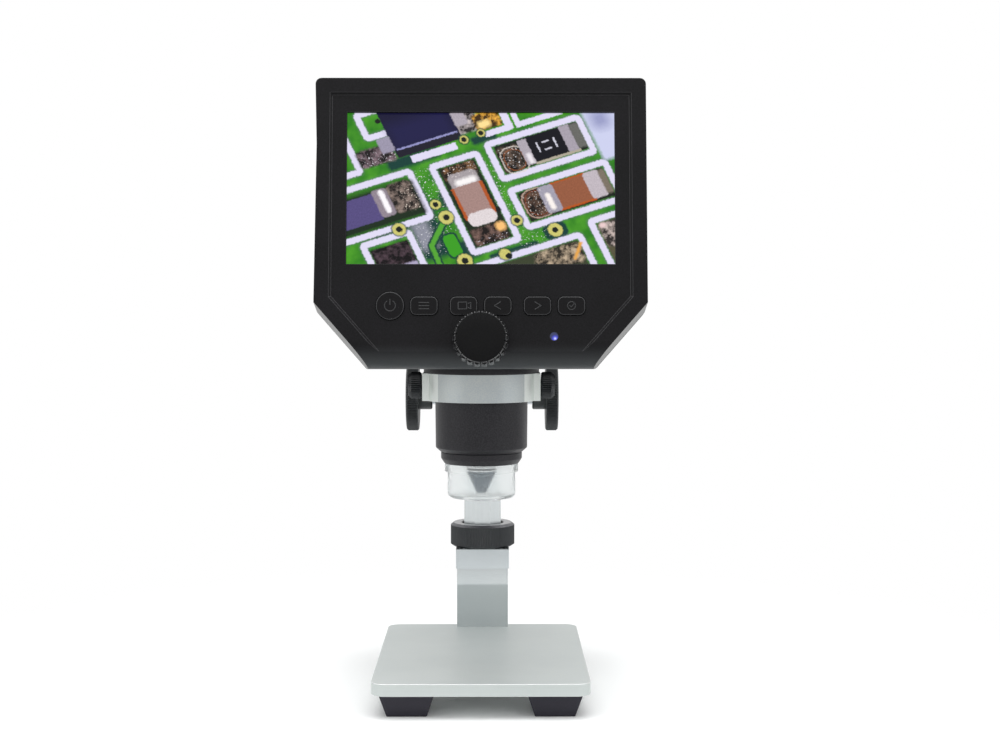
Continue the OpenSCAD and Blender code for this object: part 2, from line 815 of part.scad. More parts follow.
// The rack stands on the pole's front flat, with a tooth at the height of the pinion.
module stand_rack() {
    pitch = PI * rack_module;
    rack_z0 = shaft_z - lift_down - 2.5 * pitch;
    rack_z1 = pole_top - 1;
    below = floor((shaft_z - rack_z0) / pitch) - 1;
    above = floor((rack_z1 - shaft_z) / pitch) - 1;
    front = throat - pole_af / 2 - rack_back;
    color("#8f9698") difference() {
        union() {
            at_lens(rack_z0) translate([-rack_w / 2, front, 0]) cube([rack_w, rack_back, rack_z1 - rack_z0]);
            for (k = [-below : above]) at_lens(shaft_z + k * pitch)
                translate([-rack_w / 2, front, 0]) rotate([90, 0, 90])
                linear_extrude(height = rack_w) rack_tooth(rack_module, 2 * tooth_half - tooth_play, 0.2);
        }
        rack_screw_places() rotate([90, 0, 0]) cylinder(r = rack_screw_r + seat_gap, h = 2 * pole_af);
        rack_screw_places() translate([0, -pole_af / 2 - rack_seat, 0]) rotate([90, 0, 0])
            cylinder(r = screw_head_r(rack_screw_r) + run_gap, h = 2 * rack_depth);
    }
}

module rack_screws() {
    grip = rack_seat + pole_af / 2 - pole_bore_r - 0.3;
    color("dimgray") rack_screw_places() translate([0, -pole_af / 2 - rack_seat, 0])
        rotate([90, 0, 0]) cap_screw(rack_screw_r, grip, rack_back - rack_seat);
}

module carriage() {
    slot_front = throat - pole_af / 2 - rack_depth - rack_gap;
    color("#2a2c30") difference() {
        at_lens(carriage_z) translate([-carriage_w / 2, carriage_front, 0])
            cube([carriage_w, carriage_rear - carriage_front, carriage_h]);
        at_pole(carriage_z - 1) linear_extrude(height = carriage_h + 2) octagon(pole_af + 2 * pole_gap);
        at_lens(carriage_z - 1) translate([-rack_w / 2 - rack_gap, slot_front, 0])
            cube([rack_w + 2 * rack_gap, throat - slot_front, carriage_h + 2]);
        at_lens(shaft_z) translate([-rack_w / 2 - rack_gap, shaft_y, 0])
            bar_x(pocket_r, rack_w + 2 * rack_gap);
        at_lens(shaft_z) translate([-carriage_w / 2 - 1, shaft_y, 0])
            bar_x(bush_r + seat_gap, carriage_w + 2);
        at_lens(carriage_z + drag_up) translate([0, throat, 0]) rotate([-90, 0, 0])
            cylinder(r = drag_screw_r + seat_gap, h = 40);
        arm_screw_places() rotate([-90, 0, 0]) translate([0, 0, -1])
            cylinder(r = arm_screw_r + seat_gap, h = arm_screw_grip + 2);
    }
}

module drag_screw() {
    tip = pole_af / 2 + pole_gap + 0.2;
    color("#4a4c50") difference() {
        at_pole(carriage_z + drag_up) rotate([-90, 0, 0]) translate([0, 0, tip])
            cylinder(r = drag_screw_r, h = carriage_rear - throat - tip);
        at_pole(carriage_z + drag_up) rotate([-90, 0, 0]) translate([0, 0, carriage_rear - throat - 1.5])
            cylinder(r = drag_screw_r * 0.55, h = 2, $fn = 6);
    }
}

module shaft_bushes() {
    color("#b08d4c") mirrored_x() difference() {
        union() {
            at_lens(shaft_z) translate([carriage_w / 2 - bush_len, shaft_y, 0])
                bar_x(bush_r, bush_len + bush_flange_t / 2);
            at_lens(shaft_z) translate([carriage_w / 2, shaft_y, 0]) bar_x(bush_flange_r, bush_flange_t);
        }
        at_lens(shaft_z) translate([0, shaft_y, 0]) bar_x(shaft_r + run_gap, carriage_w);
    }
}

module pinion_shaft() {
    end_x = hub_at + hub_len + knob_w - 1.6;
    color("#c9cdd0") at_lens(shaft_z) translate([-end_x, shaft_y, 0]) bar_x(shaft_r, 2 * end_x);
}

// A gap between two teeth looks straight back at the rack's middle tooth.
module stand_pinion() {
    color("#a8894e") at_lens(shaft_z) translate([-rack_w / 2, shaft_y, 0]) rotate([90, 0, 90])
        difference() {
            linear_extrude(height = rack_w) rotate(180 / pinion_teeth)
                polygon(gear_points(rack_module, pinion_teeth, 2 * tooth_half - tooth_play));
            translate([0, 0, -1]) cylinder(r = shaft_r + seat_gap, h = rack_w + 2);
        }
}

module stand_knob() {
    at_lens(shaft_z) translate([hub_at, shaft_y, 0]) rotate([0, 90, 0]) difference() {
        union() {
            cylinder(r = hub_r, h = hub_len + 0.5);
            translate([0, 0, hub_len]) knurled_knob(knob_r, knurl_count, knob_w, knob_chamfer);
        }
        translate([0, 0, -1]) cylinder(r = shaft_r + seat_gap, h = hub_len + knob_w - 0.4);
        translate([0, 0, hub_len + knob_w - 0.8]) difference() {
            cylinder(r = knob_r - 3, h = 2);
            translate([0, 0, -1]) cylinder(r = hub_r + 1, h = 4);
        }
    }
}

module stand_knob_left() {
    color("#26282b") mirror([1, 0, 0]) stand_knob();
}

module stand_knob_right() {
    color("#26282b") stand_knob();
}

// ---- clamp ring ----------------------------------------------------------------------

module arm_screw_places() {
    for (side = [-1, 1]) at_lens(ring_z + ring_h / 2) translate([side * arm_screw_x, carriage_front, 0])
        children();
}

module clamp_ring() {
    color("#b4bcbd") difference() {
        union() {
            at_lens(ring_z) cylinder(r = ring_r, h = ring_h);
            at_lens(ring_z) centred_box(2 * ear_x, ear_w, ring_h);
            at_lens(ring_z) translate([-arm_w / 2, 0, 0]) cube([arm_w, carriage_front, ring_h]);
            at_lens(ring_z) translate([-arm_foot_w / 2, carriage_front - arm_foot_t, 0])
                cube([arm_foot_w, arm_foot_t, ring_h]);
        }
        at_lens(ring_z - 1) cylinder(r = barrel_r + run_gap, h = ring_h + 2);
        at_lens(ring_z + clamp_up) translate([-ear_x - 1, 0, 0])
            bar_x(clamp_shank_r + run_gap, 2 * ear_x + 2);
        arm_screw_places() rotate([90, 0, 0]) translate([0, 0, -1])
            cylinder(r = arm_screw_r + seat_gap, h = arm_foot_t + 2);
    }
}

module arm_screws() {
    color("#3a3c40") arm_screw_places() translate([0, -arm_foot_t, 0]) rotate([90, 0, 0])
        cap_screw(arm_screw_r, arm_foot_t + arm_screw_grip, 1.6 * arm_screw_r);
}

module clamp_pad() {
    at_lens(ring_z + clamp_up) translate([pad_x, 0, 0]) bar_x(clamp_shank_r, pad_len);
}

module clamp_pad_left() {
    color("#b3924f") mirror([1, 0, 0]) clamp_pad();
}

module clamp_pad_right() {
    color("#b3924f") clamp_pad();
}

module clamp_screw() {
    head_x = ear_x + clamp_knob_gap;
    at_lens(ring_z + clamp_up) {
        translate([pad_x + pad_len, 0, 0]) bar_x(clamp_shank_r, head_x - pad_x - pad_len + 1);
        translate([head_x, 0, 0]) rotate([0, 90, 0])
            knurled_knob(clamp_knob_r, knurl_count / 2, clamp_knob_w, knob_chamfer);
    }
}

module clamp_screw_left() {
    color("#26282b") mirror([1, 0, 0]) clamp_screw();
}

module clamp_screw_right() {
    color("#26282b") clamp_screw();
}

// ---- lens barrel ---------------------------------------------------------------------

module barrel() {
    inner = barrel_r - barrel_wall;
    guide = carrier_r + run_gap;
    color("#2b2d31") at_lens(barrel_z) rotate_extrude() polygon([
        [guide, 0], [end_ring_r, 0], [barrel_low_r, barrel_chamfer],
        [barrel_r, barrel_h - ring_h], [barrel_r, barrel_h],
        [flange_r, barrel_h], [flange_r, barrel_h + flange_t], [inner, barrel_h + flange_t],
        [inner, web_t], [guide + guide_wall, web_t], [guide + guide_wall, guide_h], [guide, guide_h]
    ]);
}

module end_ring() {
    inner = cap_neck_r + run_gap;
    color("#303236") at_lens(cap_z) rotate_extrude() polygon([
        [inner, 0], [end_ring_tip_r, 0], [end_ring_r, end_ring_chamfer],
        [end_ring_r, end_ring_h], [inner, end_ring_h]
    ]);
}

module diffuser_cap() {
    inner = cap_r - cap_wall;
    color("#e8ecec", 0.6) at_lens(cap_bottom) rotate_extrude() union() {
        difference() {
            union() {
                translate([0, cap_edge_r]) square([cap_r, cap_h - cap_edge_r]);
                square([cap_r - cap_edge_r, cap_h]);
                translate([cap_r - cap_edge_r, cap_edge_r]) circle(r = cap_edge_r);
                translate([0, cap_h - cap_rim_h]) square([cap_rim_r, cap_rim_h]);
                square([cap_neck_r, cap_h + cap_neck_h]);
            }
            translate([-1, cap_wall]) square([inner + 1, cap_h + cap_neck_h]);
            translate([-1, -1]) square([cap_mouth_r + 1, cap_h]);
            translate([cap_r, -1]) square([10, 1 + cap_h - cap_rim_h]);
            translate([cap_r - cap_edge_r, 0]) difference() {
                square([cap_edge_r + 1, cap_edge_r]);
                translate([0, cap_edge_r]) circle(r = cap_edge_r);
            }
        }
    }
}

module led_board() {
    color("white") difference() {
        at_lens(barrel_z - led_board_t) cylinder(r = led_board_r, h = led_board_t);
        at_lens(barrel_z - led_board_t - 1) cylinder(r = carrier_r + 0.3, h = led_board_t + 2);
    }
}

module leds() {
    color("#fff2b0") for (i = [0 : led_count - 1])
        at_lens(barrel_z - led_board_t - led_t) rotate((i + 0.5) * 360 / led_count)
            translate([led_at, 0, 0]) centred_box(led_w, led_w, led_t);
}

module lens_carrier() {
    inner = carrier_r - carrier_wall;
    color("#3a3d42") difference() {
        union() {
            at_lens(carrier_z) cylinder(r = carrier_r, h = carrier_len);
            at_lens(carrier_top - lug_t) translate([bar_x0, -focus_rack_y - focus_pinion_len / 2, 0])
                cube([bar_x1 - bar_x0, focus_rack_y, lug_t]);
        }
        at_lens(carrier_z - 1) cylinder(r = inner, h = carrier_len + 2);
    }
}

// A straight bar beside the pinion; its teeth slope as the focus shaft does.
module focus_rack() {
    pitch = PI * focus_module / cos(lean);
    y0 = -focus_rack_y - focus_pinion_len / 2;
    tooth_z0 = carrier_top + 2;
    below = floor((focus_mid_z - tooth_z0) / pitch);
    above = floor((carrier_top + focus_rack_len - 1 - focus_mid_z) / pitch);
    depth = (tooth_root + tooth_top) * focus_module;
    color("#a8894e") at_lens() {
        translate([bar_x0, y0, carrier_top]) cube([bar_x1 - bar_x0, focus_pinion_len, focus_rack_len]);
        intersection() {
            for (k = [-below : above]) translate([bar_x0, -focus_rack_y, focus_mid_z + k * pitch])
                rotate([90 - lean, 0, 0]) linear_extrude(height = 2 * focus_pinion_len, center = true)
                rack_tooth(focus_module, PI / 2 * focus_module - tooth_play, 0.3);
            translate([bar_x0 - depth - 1, y0, carrier_top])
                cube([depth + 1.2, focus_pinion_len, focus_rack_len]);
        }
    }
}

module objective() {
    neck_z = carrier_z - objective_neck_h;
    tip_z = neck_z - cone_h;
    groove = 0.35;
    bore = 1.3;
    color("#4d5b63") difference() {
        at_lens(tip_z) rotate_extrude() polygon([
            [0, 0], [cone_tip_r, 0], [objective_r, cone_h],
            [objective_r, cone_h + 0.8], [objective_r - groove, cone_h + 1.1],
            [objective_r - groove, cone_h + 1.7], [objective_r, cone_h + 2],
            [objective_r, cone_h + objective_neck_h],
            [carrier_r - carrier_wall - seat_gap, cone_h + objective_neck_h],
            [carrier_r - carrier_wall - seat_gap, cone_h + objective_neck_h + objective_shank],
            [0, cone_h + objective_neck_h + objective_shank]
        ]);
        at_lens(tip_z - 1) cylinder(r = bore, h = 40);
        at_lens(tip_z - 1) cylinder(r = lens_r + seat_gap, h = 2.2);
        at_lens(tip_z + 5) cylinder(r = 3, h = 40);
    }
}

module objective_lens() {
    tip_z = carrier_z - objective_neck_h - cone_h;
    color("lightblue", 0.5) at_lens(tip_z + 0.2) cylinder(r = lens_r, h = 1);
}

// ---- focus drive ---------------------------------------------------------------------

module on_focus_axis() {
    on_face() translate([0, 0, focus_v]) children();
}

module focus_knob() {
    front_w = -focus_gap - focus_w;
    color("#202225") on_focus_axis() difference() {
        union() {
            translate([0, -focus_gap, 0]) rotate([90, 0, 0]) linear_extrude(height = focus_w) difference() {
                circle(r = focus_r);
                for (i = [0 : flute_count - 1]) rotate(90 + i * 360 / flute_count)
                    translate([focus_r + flute_r * 0.15, 0]) circle(r = flute_r);
            }
            translate([0, front_w + 0.2, 0]) rotate([90, 0, 0]) cylinder(r = focus_disc_r + 0.7, h = 0.5);
            translate([0, front_w - 0.2, 0]) rotate([90, 0, 0])
                cylinder(r1 = focus_disc_r + 0.7, r2 = focus_disc_r, h = focus_disc_h - 0.2);
        }
        bar_w(focus_shaft_r + seat_gap, front_w, 0);
    }
}

module focus_shaft() {
    color("#b8bcc0") on_focus_axis()
        bar_w(focus_shaft_r, -focus_gap - focus_w + 0.3, focus_mid_w + focus_pinion_len / 2 + 0.7);
}

module focus_pinion() {
    color("#a8894e") on_focus_axis() translate([0, focus_mid_w - focus_pinion_len / 2, 0])
        rotate([-90, 0, 0]) difference() {
            linear_extrude(height = focus_pinion_len) rotate(180 / focus_teeth)
                polygon(gear_points(focus_module, focus_teeth, PI / 2 * focus_module - tooth_play));
            translate([0, 0, -1]) cylinder(r = focus_shaft_r + seat_gap, h = focus_pinion_len + 2);
        }
}

// Stands on the floor of the rear case; its front plate carries the shaft, its side guides the rack.
module focus_bracket() {
    plate_t = 2;
    left = -3 * plate_t;
    cheek_x = bar_x1 + run_gap + cover_gap;
    right = cheek_x + 1.2 * plate_t;
    plate_y = -focus_rack_y - focus_pinion_len / 2 - 1.6 * plate_t;
    z0 = head_z + wall;
    h = focus_axis_z - z0 + plate_t;
    color("#5a5e63") difference() {
        at_lens(z0) union() {
            translate([left, plate_y, 0]) cube([right - left, plate_t, h]);
            translate([cheek_x, plate_y, 0]) cube([right - cheek_x, focus_pinion_len + 2.3 * plate_t, h]);
        }
        on_focus_axis() bar_w(focus_shaft_r + run_gap, front_d, focus_mid_w - focus_pinion_len / 2);
    }
}

module sensor_post_places() {
    for (x = [-1, 1], y = [-1, 1])
        at_lens() translate([x * sensor_posts.x, sensor_back + y * sensor_posts.y, 0]) children();
}

module sensor_board() {
    color("#1f6b3a") difference() {
        at_lens(sensor_z) translate([0, sensor_back, 0])
            centred_box(sensor_board_w, sensor_board_d, board_t);
        sensor_post_places() translate([0, 0, sensor_z - 1]) cylinder(r = board_t / 2, h = board_t + 2);
    }
    color("#303236") at_lens(sensor_z - sensor_t) centred_box(sensor_w, sensor_w, sensor_t + board_t / 2);
}

// ---- display head --------------------------------------------------------------------

// The head's outline on the face, inset all round; flare moves only the slanted corners out.
function case_outline(inset, out) =
    let (
        w = case_w / 2 - inset,
        top = case_h - inset,
        low = -1,
        side_v = ((w - case_foot_w / 2) * sin(slant) + inset - out) / cos(slant),
        foot_x = case_foot_w / 2 + (low * cos(slant) - inset + out) / sin(slant),
        r = max(case_r - inset, 0.3)
    )
    concat(
        [[-foot_x, low], [foot_x, low], [w, side_v]],
        [for (a = [0 : 22.5 : 90]) [w - r + r * cos(a), top - r + r * sin(a)]],
        [for (a = [90 : 22.5 : 180]) [-w + r + r * cos(a), top - r + r * sin(a)]],
        [[-w, side_v]]
    );

// Everything above the head's underside and behind its face, inset; the lip rounds the edge between.
module lip_cut(inset) {
    r = lip_r - inset;
    top_v = case_h + 20;
    far = 80;
    front_y = -face_front + top_v * sin(lean) + inset * cos(lean);
    profile = concat(
        [for (a = [180 - lean : 7 : 270]) [lip_y + r * cos(a), lip_z + r * sin(a)]],
        [[lip_y, lip_z - r], [far, lip_z - r], [far, head_z + top_v]],
        [[front_y, head_z + top_v * cos(lean) - inset * sin(lean)]]
    );
    at_lens() rotate([90, 0, 90]) linear_extrude(height = 2 * case_w, center = true) polygon(profile);
}

module screen_box(w, h, w0, w1) {
    on_face() translate([-w / 2, w0, screen_v - h / 2]) cube([w, w1 - w0, h]);
}

module face_hole(x, v, r, w0, w1) {
    on_face() translate([x, 0, v]) bar_w(r, w0, w1);
}

// Places of the square buttons: name index 1 to 5 from left to right; 0 is the power button.
function button_x(i) =
    let (xs = [-button_xs[2], -button_xs[1], -button_xs[0], button_xs[0], button_xs[1], button_xs[2]])
    xs[i];

module button_shape(i, grow) {
    if (i == 0) circle(r = power_r + grow);
    else rounded_square(button_w + 2 * grow, button_h + 2 * grow, button_r + grow);
}

module button_solid(i, grow, w0, w1) {
    on_face() translate([button_x(i), w1, button_v]) rotate([90, 0, 0])
        linear_extrude(height = w1 - w0) button_shape(i, grow);
}

module front_case() {
    edge = recess_bevel / recess_d;
    color("#25272a") difference() {
        union() {
            difference() {
                intersection() {
                    on_face() prism(case_outline(0, 0), 0, case_outline(0, flare), front_d);
                    lip_cut(0);
                }
                intersection() {
                    on_face() prism(case_outline(wall, 0), back_w, case_outline(wall, flare), front_d + 0.01);
                    lip_cut(back_w);
                }
                on_face() prism(
                    case_outline(rim_w - edge * recess_d, 0), -recess_d,
                    case_outline(rim_w + edge * recess_d, 0), recess_d
                );
            }
            for (p = case_posts) mirrored_x() on_face() translate([p.x, 0, p.y])
                bar_w(post_r - 0.6, back_w - 0.2, front_d - run_gap);
            mirrored_x() face_hole(button_boss_x, button_v, 2, back_w - 0.2, button_board_w);
            on_focus_axis() bar_w(focus_shaft_r + 2.2, back_w - 0.6, focus_boss_w);
            face_hole(led_x, led_v, status_led_r + 1.6, back_w - 0.6, led_boss_w);
        }
        screen_box(screen_w, screen_h, -1, back_w + 1);
        for (i = [0 : 5]) button_solid(i, cover_gap, -1, back_w + 0.6);
        on_focus_axis() bar_w(focus_shaft_r + run_gap, -2, focus_boss_w + 1);
        face_hole(led_x, led_v, status_led_r + run_gap, -2, led_boss_w + 1);
        for (p = case_posts) mirrored_x() on_face() translate([p.x, 0, p.y])
            bar_w(case_screw_r + run_gap, back_w + 0.8, front_d + 1);
    }
}

// The bulge behind the slab that holds the battery and stands over the barrel's flange.
module bulge(inset) {
    half = bulge_w / 2 - inset;
    rear = bulge_y - inset;
    start = -face_front + (slab_d - 2 * wall) * cos(lean);
    rise = bulge_h + bulge_slope_h - inset * 1.3;
    slope_y = -face_front + slab_d / cos(lean) + (bulge_h + bulge_slope_h) * tan(lean);
    intersection() {
        at_lens() rotate([90, 0, 90]) linear_extrude(height = bulge_w + 2, center = true) polygon([
            [start, head_z - 1], [rear, head_z - 1], [rear, head_z + bulge_h - inset * 0.35],
            [slope_y, head_z + rise], [start + rise * tan(lean), head_z + rise]
        ]);
        at_lens(head_z - 2) linear_extrude(height = case_h) polygon([
            [-half, start], [half, start], [half, rear - bulge_chamfer],
            [half - bulge_chamfer, rear], [-half + bulge_chamfer, rear], [-half, rear - bulge_chamfer]
        ]);
    }
}

module slab(inset, w0) {
    chamfer_w = slab_d - back_chamfer;
    tip = back_chamfer - inset;
    on_face() {
        prism(case_outline(inset, flare), w0, case_outline(inset, flare), chamfer_w);
        prism(case_outline(inset, flare), chamfer_w - 0.01, case_outline(inset + tip, flare), slab_d - inset);
    }
}

module rear_case() {
    shelf_t = 2;
    shelf_y = cell_y - cell_r;
    inner_half = bulge_w / 2 - wall;
    rack_teeth_w = (tooth_root + tooth_top) * focus_module + 2 * cover_gap;
    color("#222427") difference() {
        union() {
            difference() {
                intersection() {
                    union() {
                        slab(0, front_d);
                        bulge(0);
                    }
                    lip_cut(0);
                }
                intersection() {
                    union() {
                        slab(wall, front_d - 0.1);
                        bulge(wall);
                    }
                    lip_cut(wall);
                }
            }
            for (p = case_posts) mirrored_x() on_face() translate([p.x, 0, p.y])
                bar_w(post_r, front_d, slab_d - wall + 0.5);
            mirrored_x() board_post_places() bar_w(board_post_r, socket_w0, slab_d - wall + 0.5);
            sensor_post_places() translate([0, 0, head_z + wall / 2])
                cylinder(r = 1.5, h = sensor_z - head_z - wall / 2);
            at_lens(cell_z - cell_r - cover_gap / 2 - shelf_t) translate([-inner_half - 0.5, shelf_y, 0])
                cube([2 * inner_half + 1, bulge_y - wall + 0.5 - shelf_y, shelf_t]);
        }
        at_lens(head_z - 1) cylinder(r = carrier_r + 3 * cover_gap, h = wall + 2);
        at_lens(head_z - 1)
            translate([bar_x0 - rack_teeth_w, -focus_rack_y - focus_pinion_len / 2 - 2 * cover_gap, 0])
            cube([bar_x1 - bar_x0 + rack_teeth_w + 2 * cover_gap, focus_rack_y, wall + 2]);
        at_lens(door_z - cover_gap) translate([-door_w / 2 - cover_gap, bulge_y - wall - 1, 0])
            cube([door_w + 2 * cover_gap, wall + 2, door_h + 2 * cover_gap]);
        at_lens(door_axis_z) translate([-door_w / 2 - door_pin_len - 2 * cover_gap, door_axis_y, 0])
            bar_x(door_pin_r + run_gap, door_w + 2 * door_pin_len + 4 * cover_gap);
        for (k = [0 : vent_count - 1]) on_face()
            translate([-vent_w / 2, slab_d - wall - 1, case_h - vent_down - k * vent_pitch])
            cube([vent_w, wall + 2, vent_h]);
        at_lens(dimmer_z - dimmer_t / 2 - cover_gap)
            translate([inner_half - 1, dimmer_y - dimmer_slot / 2, 0])
            cube([wall + 2, dimmer_slot, dimmer_t + 2 * cover_gap]);
        on_face()
            translate([-case_w / 2 - 1, socket_w0 + card_lift - cover_gap, card_v - card_w / 2 - cover_gap])
            cube([wall + 3, card_t + 2 * cover_gap, card_w + 2 * cover_gap]);
        on_face() translate([-case_w / 2 - 1, socket_w0 - cover_gap, usb_v - usb_w / 2 - cover_gap])
            cube([wall + 3, usb_h + 2 * cover_gap, usb_w + 2 * cover_gap]);
        for (p = case_posts) mirrored_x() on_face() translate([p.x, 0, p.y]) {
            bar_w(case_screw_r + 2 * run_gap, front_d - 1, slab_d + 1);
            bar_w(screw_head_r(case_screw_r) + cover_gap, slab_d - case_screw_sink, slab_d + 1);
        }
    }
}

module board_post_places() {
    for (v = board_posts_v) on_face() translate([board_post_x, 0, v]) children();
}

module case_screws() {
    seat_w = slab_d - case_screw_sink;
    color("#3c3e42") for (p = case_posts) mirrored_x() on_face() translate([p.x, seat_w, p.y])
        rotate([-90, 0, 0]) cap_screw(case_screw_r, seat_w - back_w - 1.9, 1.5 * case_screw_r);
}

module battery_door() {
    half = door_w / 2;
    inner_y = bulge_y - door_t;
    color("#222427") {
        at_lens(door_z) translate([-half, inner_y, 0]) cube([door_w, door_t, door_axis_z - door_z]);
        at_lens(door_axis_z) translate([-half, door_axis_y, 0]) bar_x(door_barrel_r, door_w);
        at_lens(door_axis_z) translate([-half - door_pin_len, door_axis_y, 0])
            bar_x(door_pin_r, door_w + 2 * door_pin_len);
    }
}

module battery_cell() {
    color("#2f6fb0") at_lens(cell_z) translate([-cell_len / 2, cell_y, 0]) bar_x(cell_r, cell_len);
}

module battery_contacts() {
    inner = bulge_w / 2 - wall;
    plate_t = 0.8;
    plate_w = 0.85 * cell_r;
    tip_x = cell_len / 2 + cover_gap / 2;
    color("#c0c4c6") mirrored_x() at_lens(cell_z) translate([0, cell_y, 0]) {
        translate([inner - plate_t, -plate_w / 2, -plate_w / 2]) cube([plate_t, plate_w, plate_w]);
        translate([tip_x, 0, 0]) bar_x(0.28 * cell_r, inner - plate_t / 2 - tip_x);
    }
}

module lcd_glass() {
    color("#3c6e4c")
        screen_box(screen_w + 2 * glass_lap, screen_h + 2 * glass_lap, panel_w0, panel_w0 + glass_t);
}

module lcd_panel() {
    back = panel_w0 + glass_t;
    color("#8a8f92")
        screen_box(screen_w + 2 * panel_lap, screen_h + 2 * panel_lap_v, back, back + panel_t);
}

module main_board() {
    sink = board_t / 4;
    card_socket_d = card_len - 1.4;
    card_socket_w = card_w + 3;
    color("#1f6b3a") difference() {
        on_face() translate([board_left, board_w0, board_low])
            cube([board_right - board_left, board_t, board_high - board_low]);
        mirrored_x() board_post_places() bar_w(1, board_w0 - 1, socket_w0 + 1);
    }
    color("#2b2d30") on_face()
        translate([(board_left + board_right) / 2, socket_w0 - sink, (board_low + board_high) / 2])
        for (c = chips) translate([c[0] - c[2] / 2, 0, c[1] - c[3] / 2]) cube([c[2], c[4] + sink, c[3]]);
    color("silver") on_face() difference() {
        translate([board_left, socket_w0 - sink, card_v - card_socket_w / 2])
            cube([card_socket_d, sink + card_lift + 2 * card_t, card_socket_w]);
        translate([board_left - 1, socket_w0 + card_lift - run_gap, card_v - card_w / 2 - run_gap])
            cube([card_socket_d, card_t + 2 * run_gap, card_w + 2 * run_gap]);
    }
}

module memory_card() {
    color("#1b1c1e") on_face()
        translate([-case_w / 2 + cover_gap, socket_w0 + card_lift, card_v - card_w / 2])
        cube([card_len, card_t, card_w]);
}

module usb_socket() {
    shell = 0.5;
    front = -case_w / 2 + 0.6;
    color("silver") on_face() difference() {
        translate([front, socket_w0, usb_v - usb_w / 2]) cube([usb_d, usb_h, usb_w]);
        translate([front - 1, socket_w0 + shell, usb_v - usb_w / 2 + shell])
            cube([usb_d + 1 - shell, usb_h - 2 * shell, usb_w - 2 * shell]);
    }
    color("#1b1c1e") on_face()
        translate([front + 2 * shell, socket_w0 + usb_h / 2 - shell / 2, usb_v - usb_w / 3])
        cube([usb_d - 2.5 * shell, shell, usb_w / 1.5]);
}

module button_board() {
    w = 2 * button_boss_x + 4.6;
    switch_d = button_board_w - switch_w0;
    color("#1f6b3a") on_face() translate([-w / 2, button_board_w, button_v - button_board_h / 2])
        cube([w, 0.75 * board_t, button_board_h]);
    color("#3a3c40") difference() {
        for (i = [0 : 5]) on_face()
            translate([button_x(i) - switch_w / 2, switch_w0, button_v - switch_w / 2])
            cube([switch_w, switch_d + board_t / 4, switch_w]);
        for (i = [0 : 5])
            face_hole(button_x(i), button_v, stem_r + 2 * run_gap, switch_w0 - 1, switch_w0 + 0.7 * switch_d);
    }
}

module button(i) {
    flange_w0 = back_w + 0.1;
    flange_w1 = back_w + 0.8;
    color("#1d1f21") {
        button_solid(i, 0, recess_d - button_out, flange_w0 + 0.1);
        button_solid(i, 0.7, flange_w0, flange_w1);
        face_hole(button_x(i), button_v, stem_r, flange_w1 - 0.1, switch_w0 + 1.6 - button_travel);
    }
}

module button_power() button(0);
module button_menu() button(1);
module button_mode() button(2);
module button_back() button(3);
module button_next() button(4);
module button_ok() button(5);

module status_led() {
    color("#4a6cff") {
        face_hole(led_x, led_v, status_led_r, recess_d + 0.2, led_boss_w + 1);
        face_hole(led_x, led_v, status_led_r + 0.8, led_boss_w, led_boss_w + status_led_r);
    }
}

module dimmer_wheel() {
    color("#2d2f33") difference() {
        at_lens(dimmer_z - dimmer_t / 2) translate([dimmer_x, dimmer_y, 0])
            knurled_disc(dimmer_r, knurl_count / 2, dimmer_t);
        at_lens(dimmer_z - dimmer_t) translate([dimmer_x, dimmer_y, 0])
            cylinder(r = pot_pin_r + run_gap, h = 2 * dimmer_t);
    }
}

module dimmer_pot() {
    h = dimmer_z - dimmer_t / 2 - cover_gap - head_z - wall;
    color("#3d5a80") at_lens(head_z + wall) translate([dimmer_x, dimmer_y, 0]) {
        centred_box(pot_w, pot_w, h);
        cylinder(r = pot_pin_r, h = h + dimmer_t + 2 * cover_gap);
    }
}

// ---- nodes ---------------------------------------------------------------------------

base_plate();
base_feet();
base_screws();
column();
column_head();
column_screws();
collet_ring();
lock_collar();
pole();
pole_plug();
stand_rack();
rack_screws();
carriage();
shaft_bushes();
pinion_shaft();
stand_pinion();
stand_knob_left();
stand_knob_right();
drag_screw();
clamp_ring();
arm_screws();
clamp_pad_left();
clamp_pad_right();
clamp_screw_left();
clamp_screw_right();
barrel();
end_ring();
diffuser_cap();
led_board();
leds();
lens_carrier();
focus_rack();
objective();
objective_lens();
focus_knob();
focus_shaft();
focus_pinion();
focus_bracket();
sensor_board();
front_case();
rear_case();
battery_door();
battery_cell();
battery_contacts();
lcd_panel();
lcd_glass();
main_board();
usb_socket();
memory_card();
button_board();
button_power();
button_menu();
button_mode();
button_back();
button_next();
button_ok();
status_led();
dimmer_wheel();
dimmer_pot();
case_screws();
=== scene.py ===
# %% [markdown]
# # A desk microscope with a display head
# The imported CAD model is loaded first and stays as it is: every piece below is placed by it.
# Many of its nodes only need a finish. Where an edge should catch the light, a copy of the node is
# cleaned up and its edges are rounded, and that copy stands for the node.

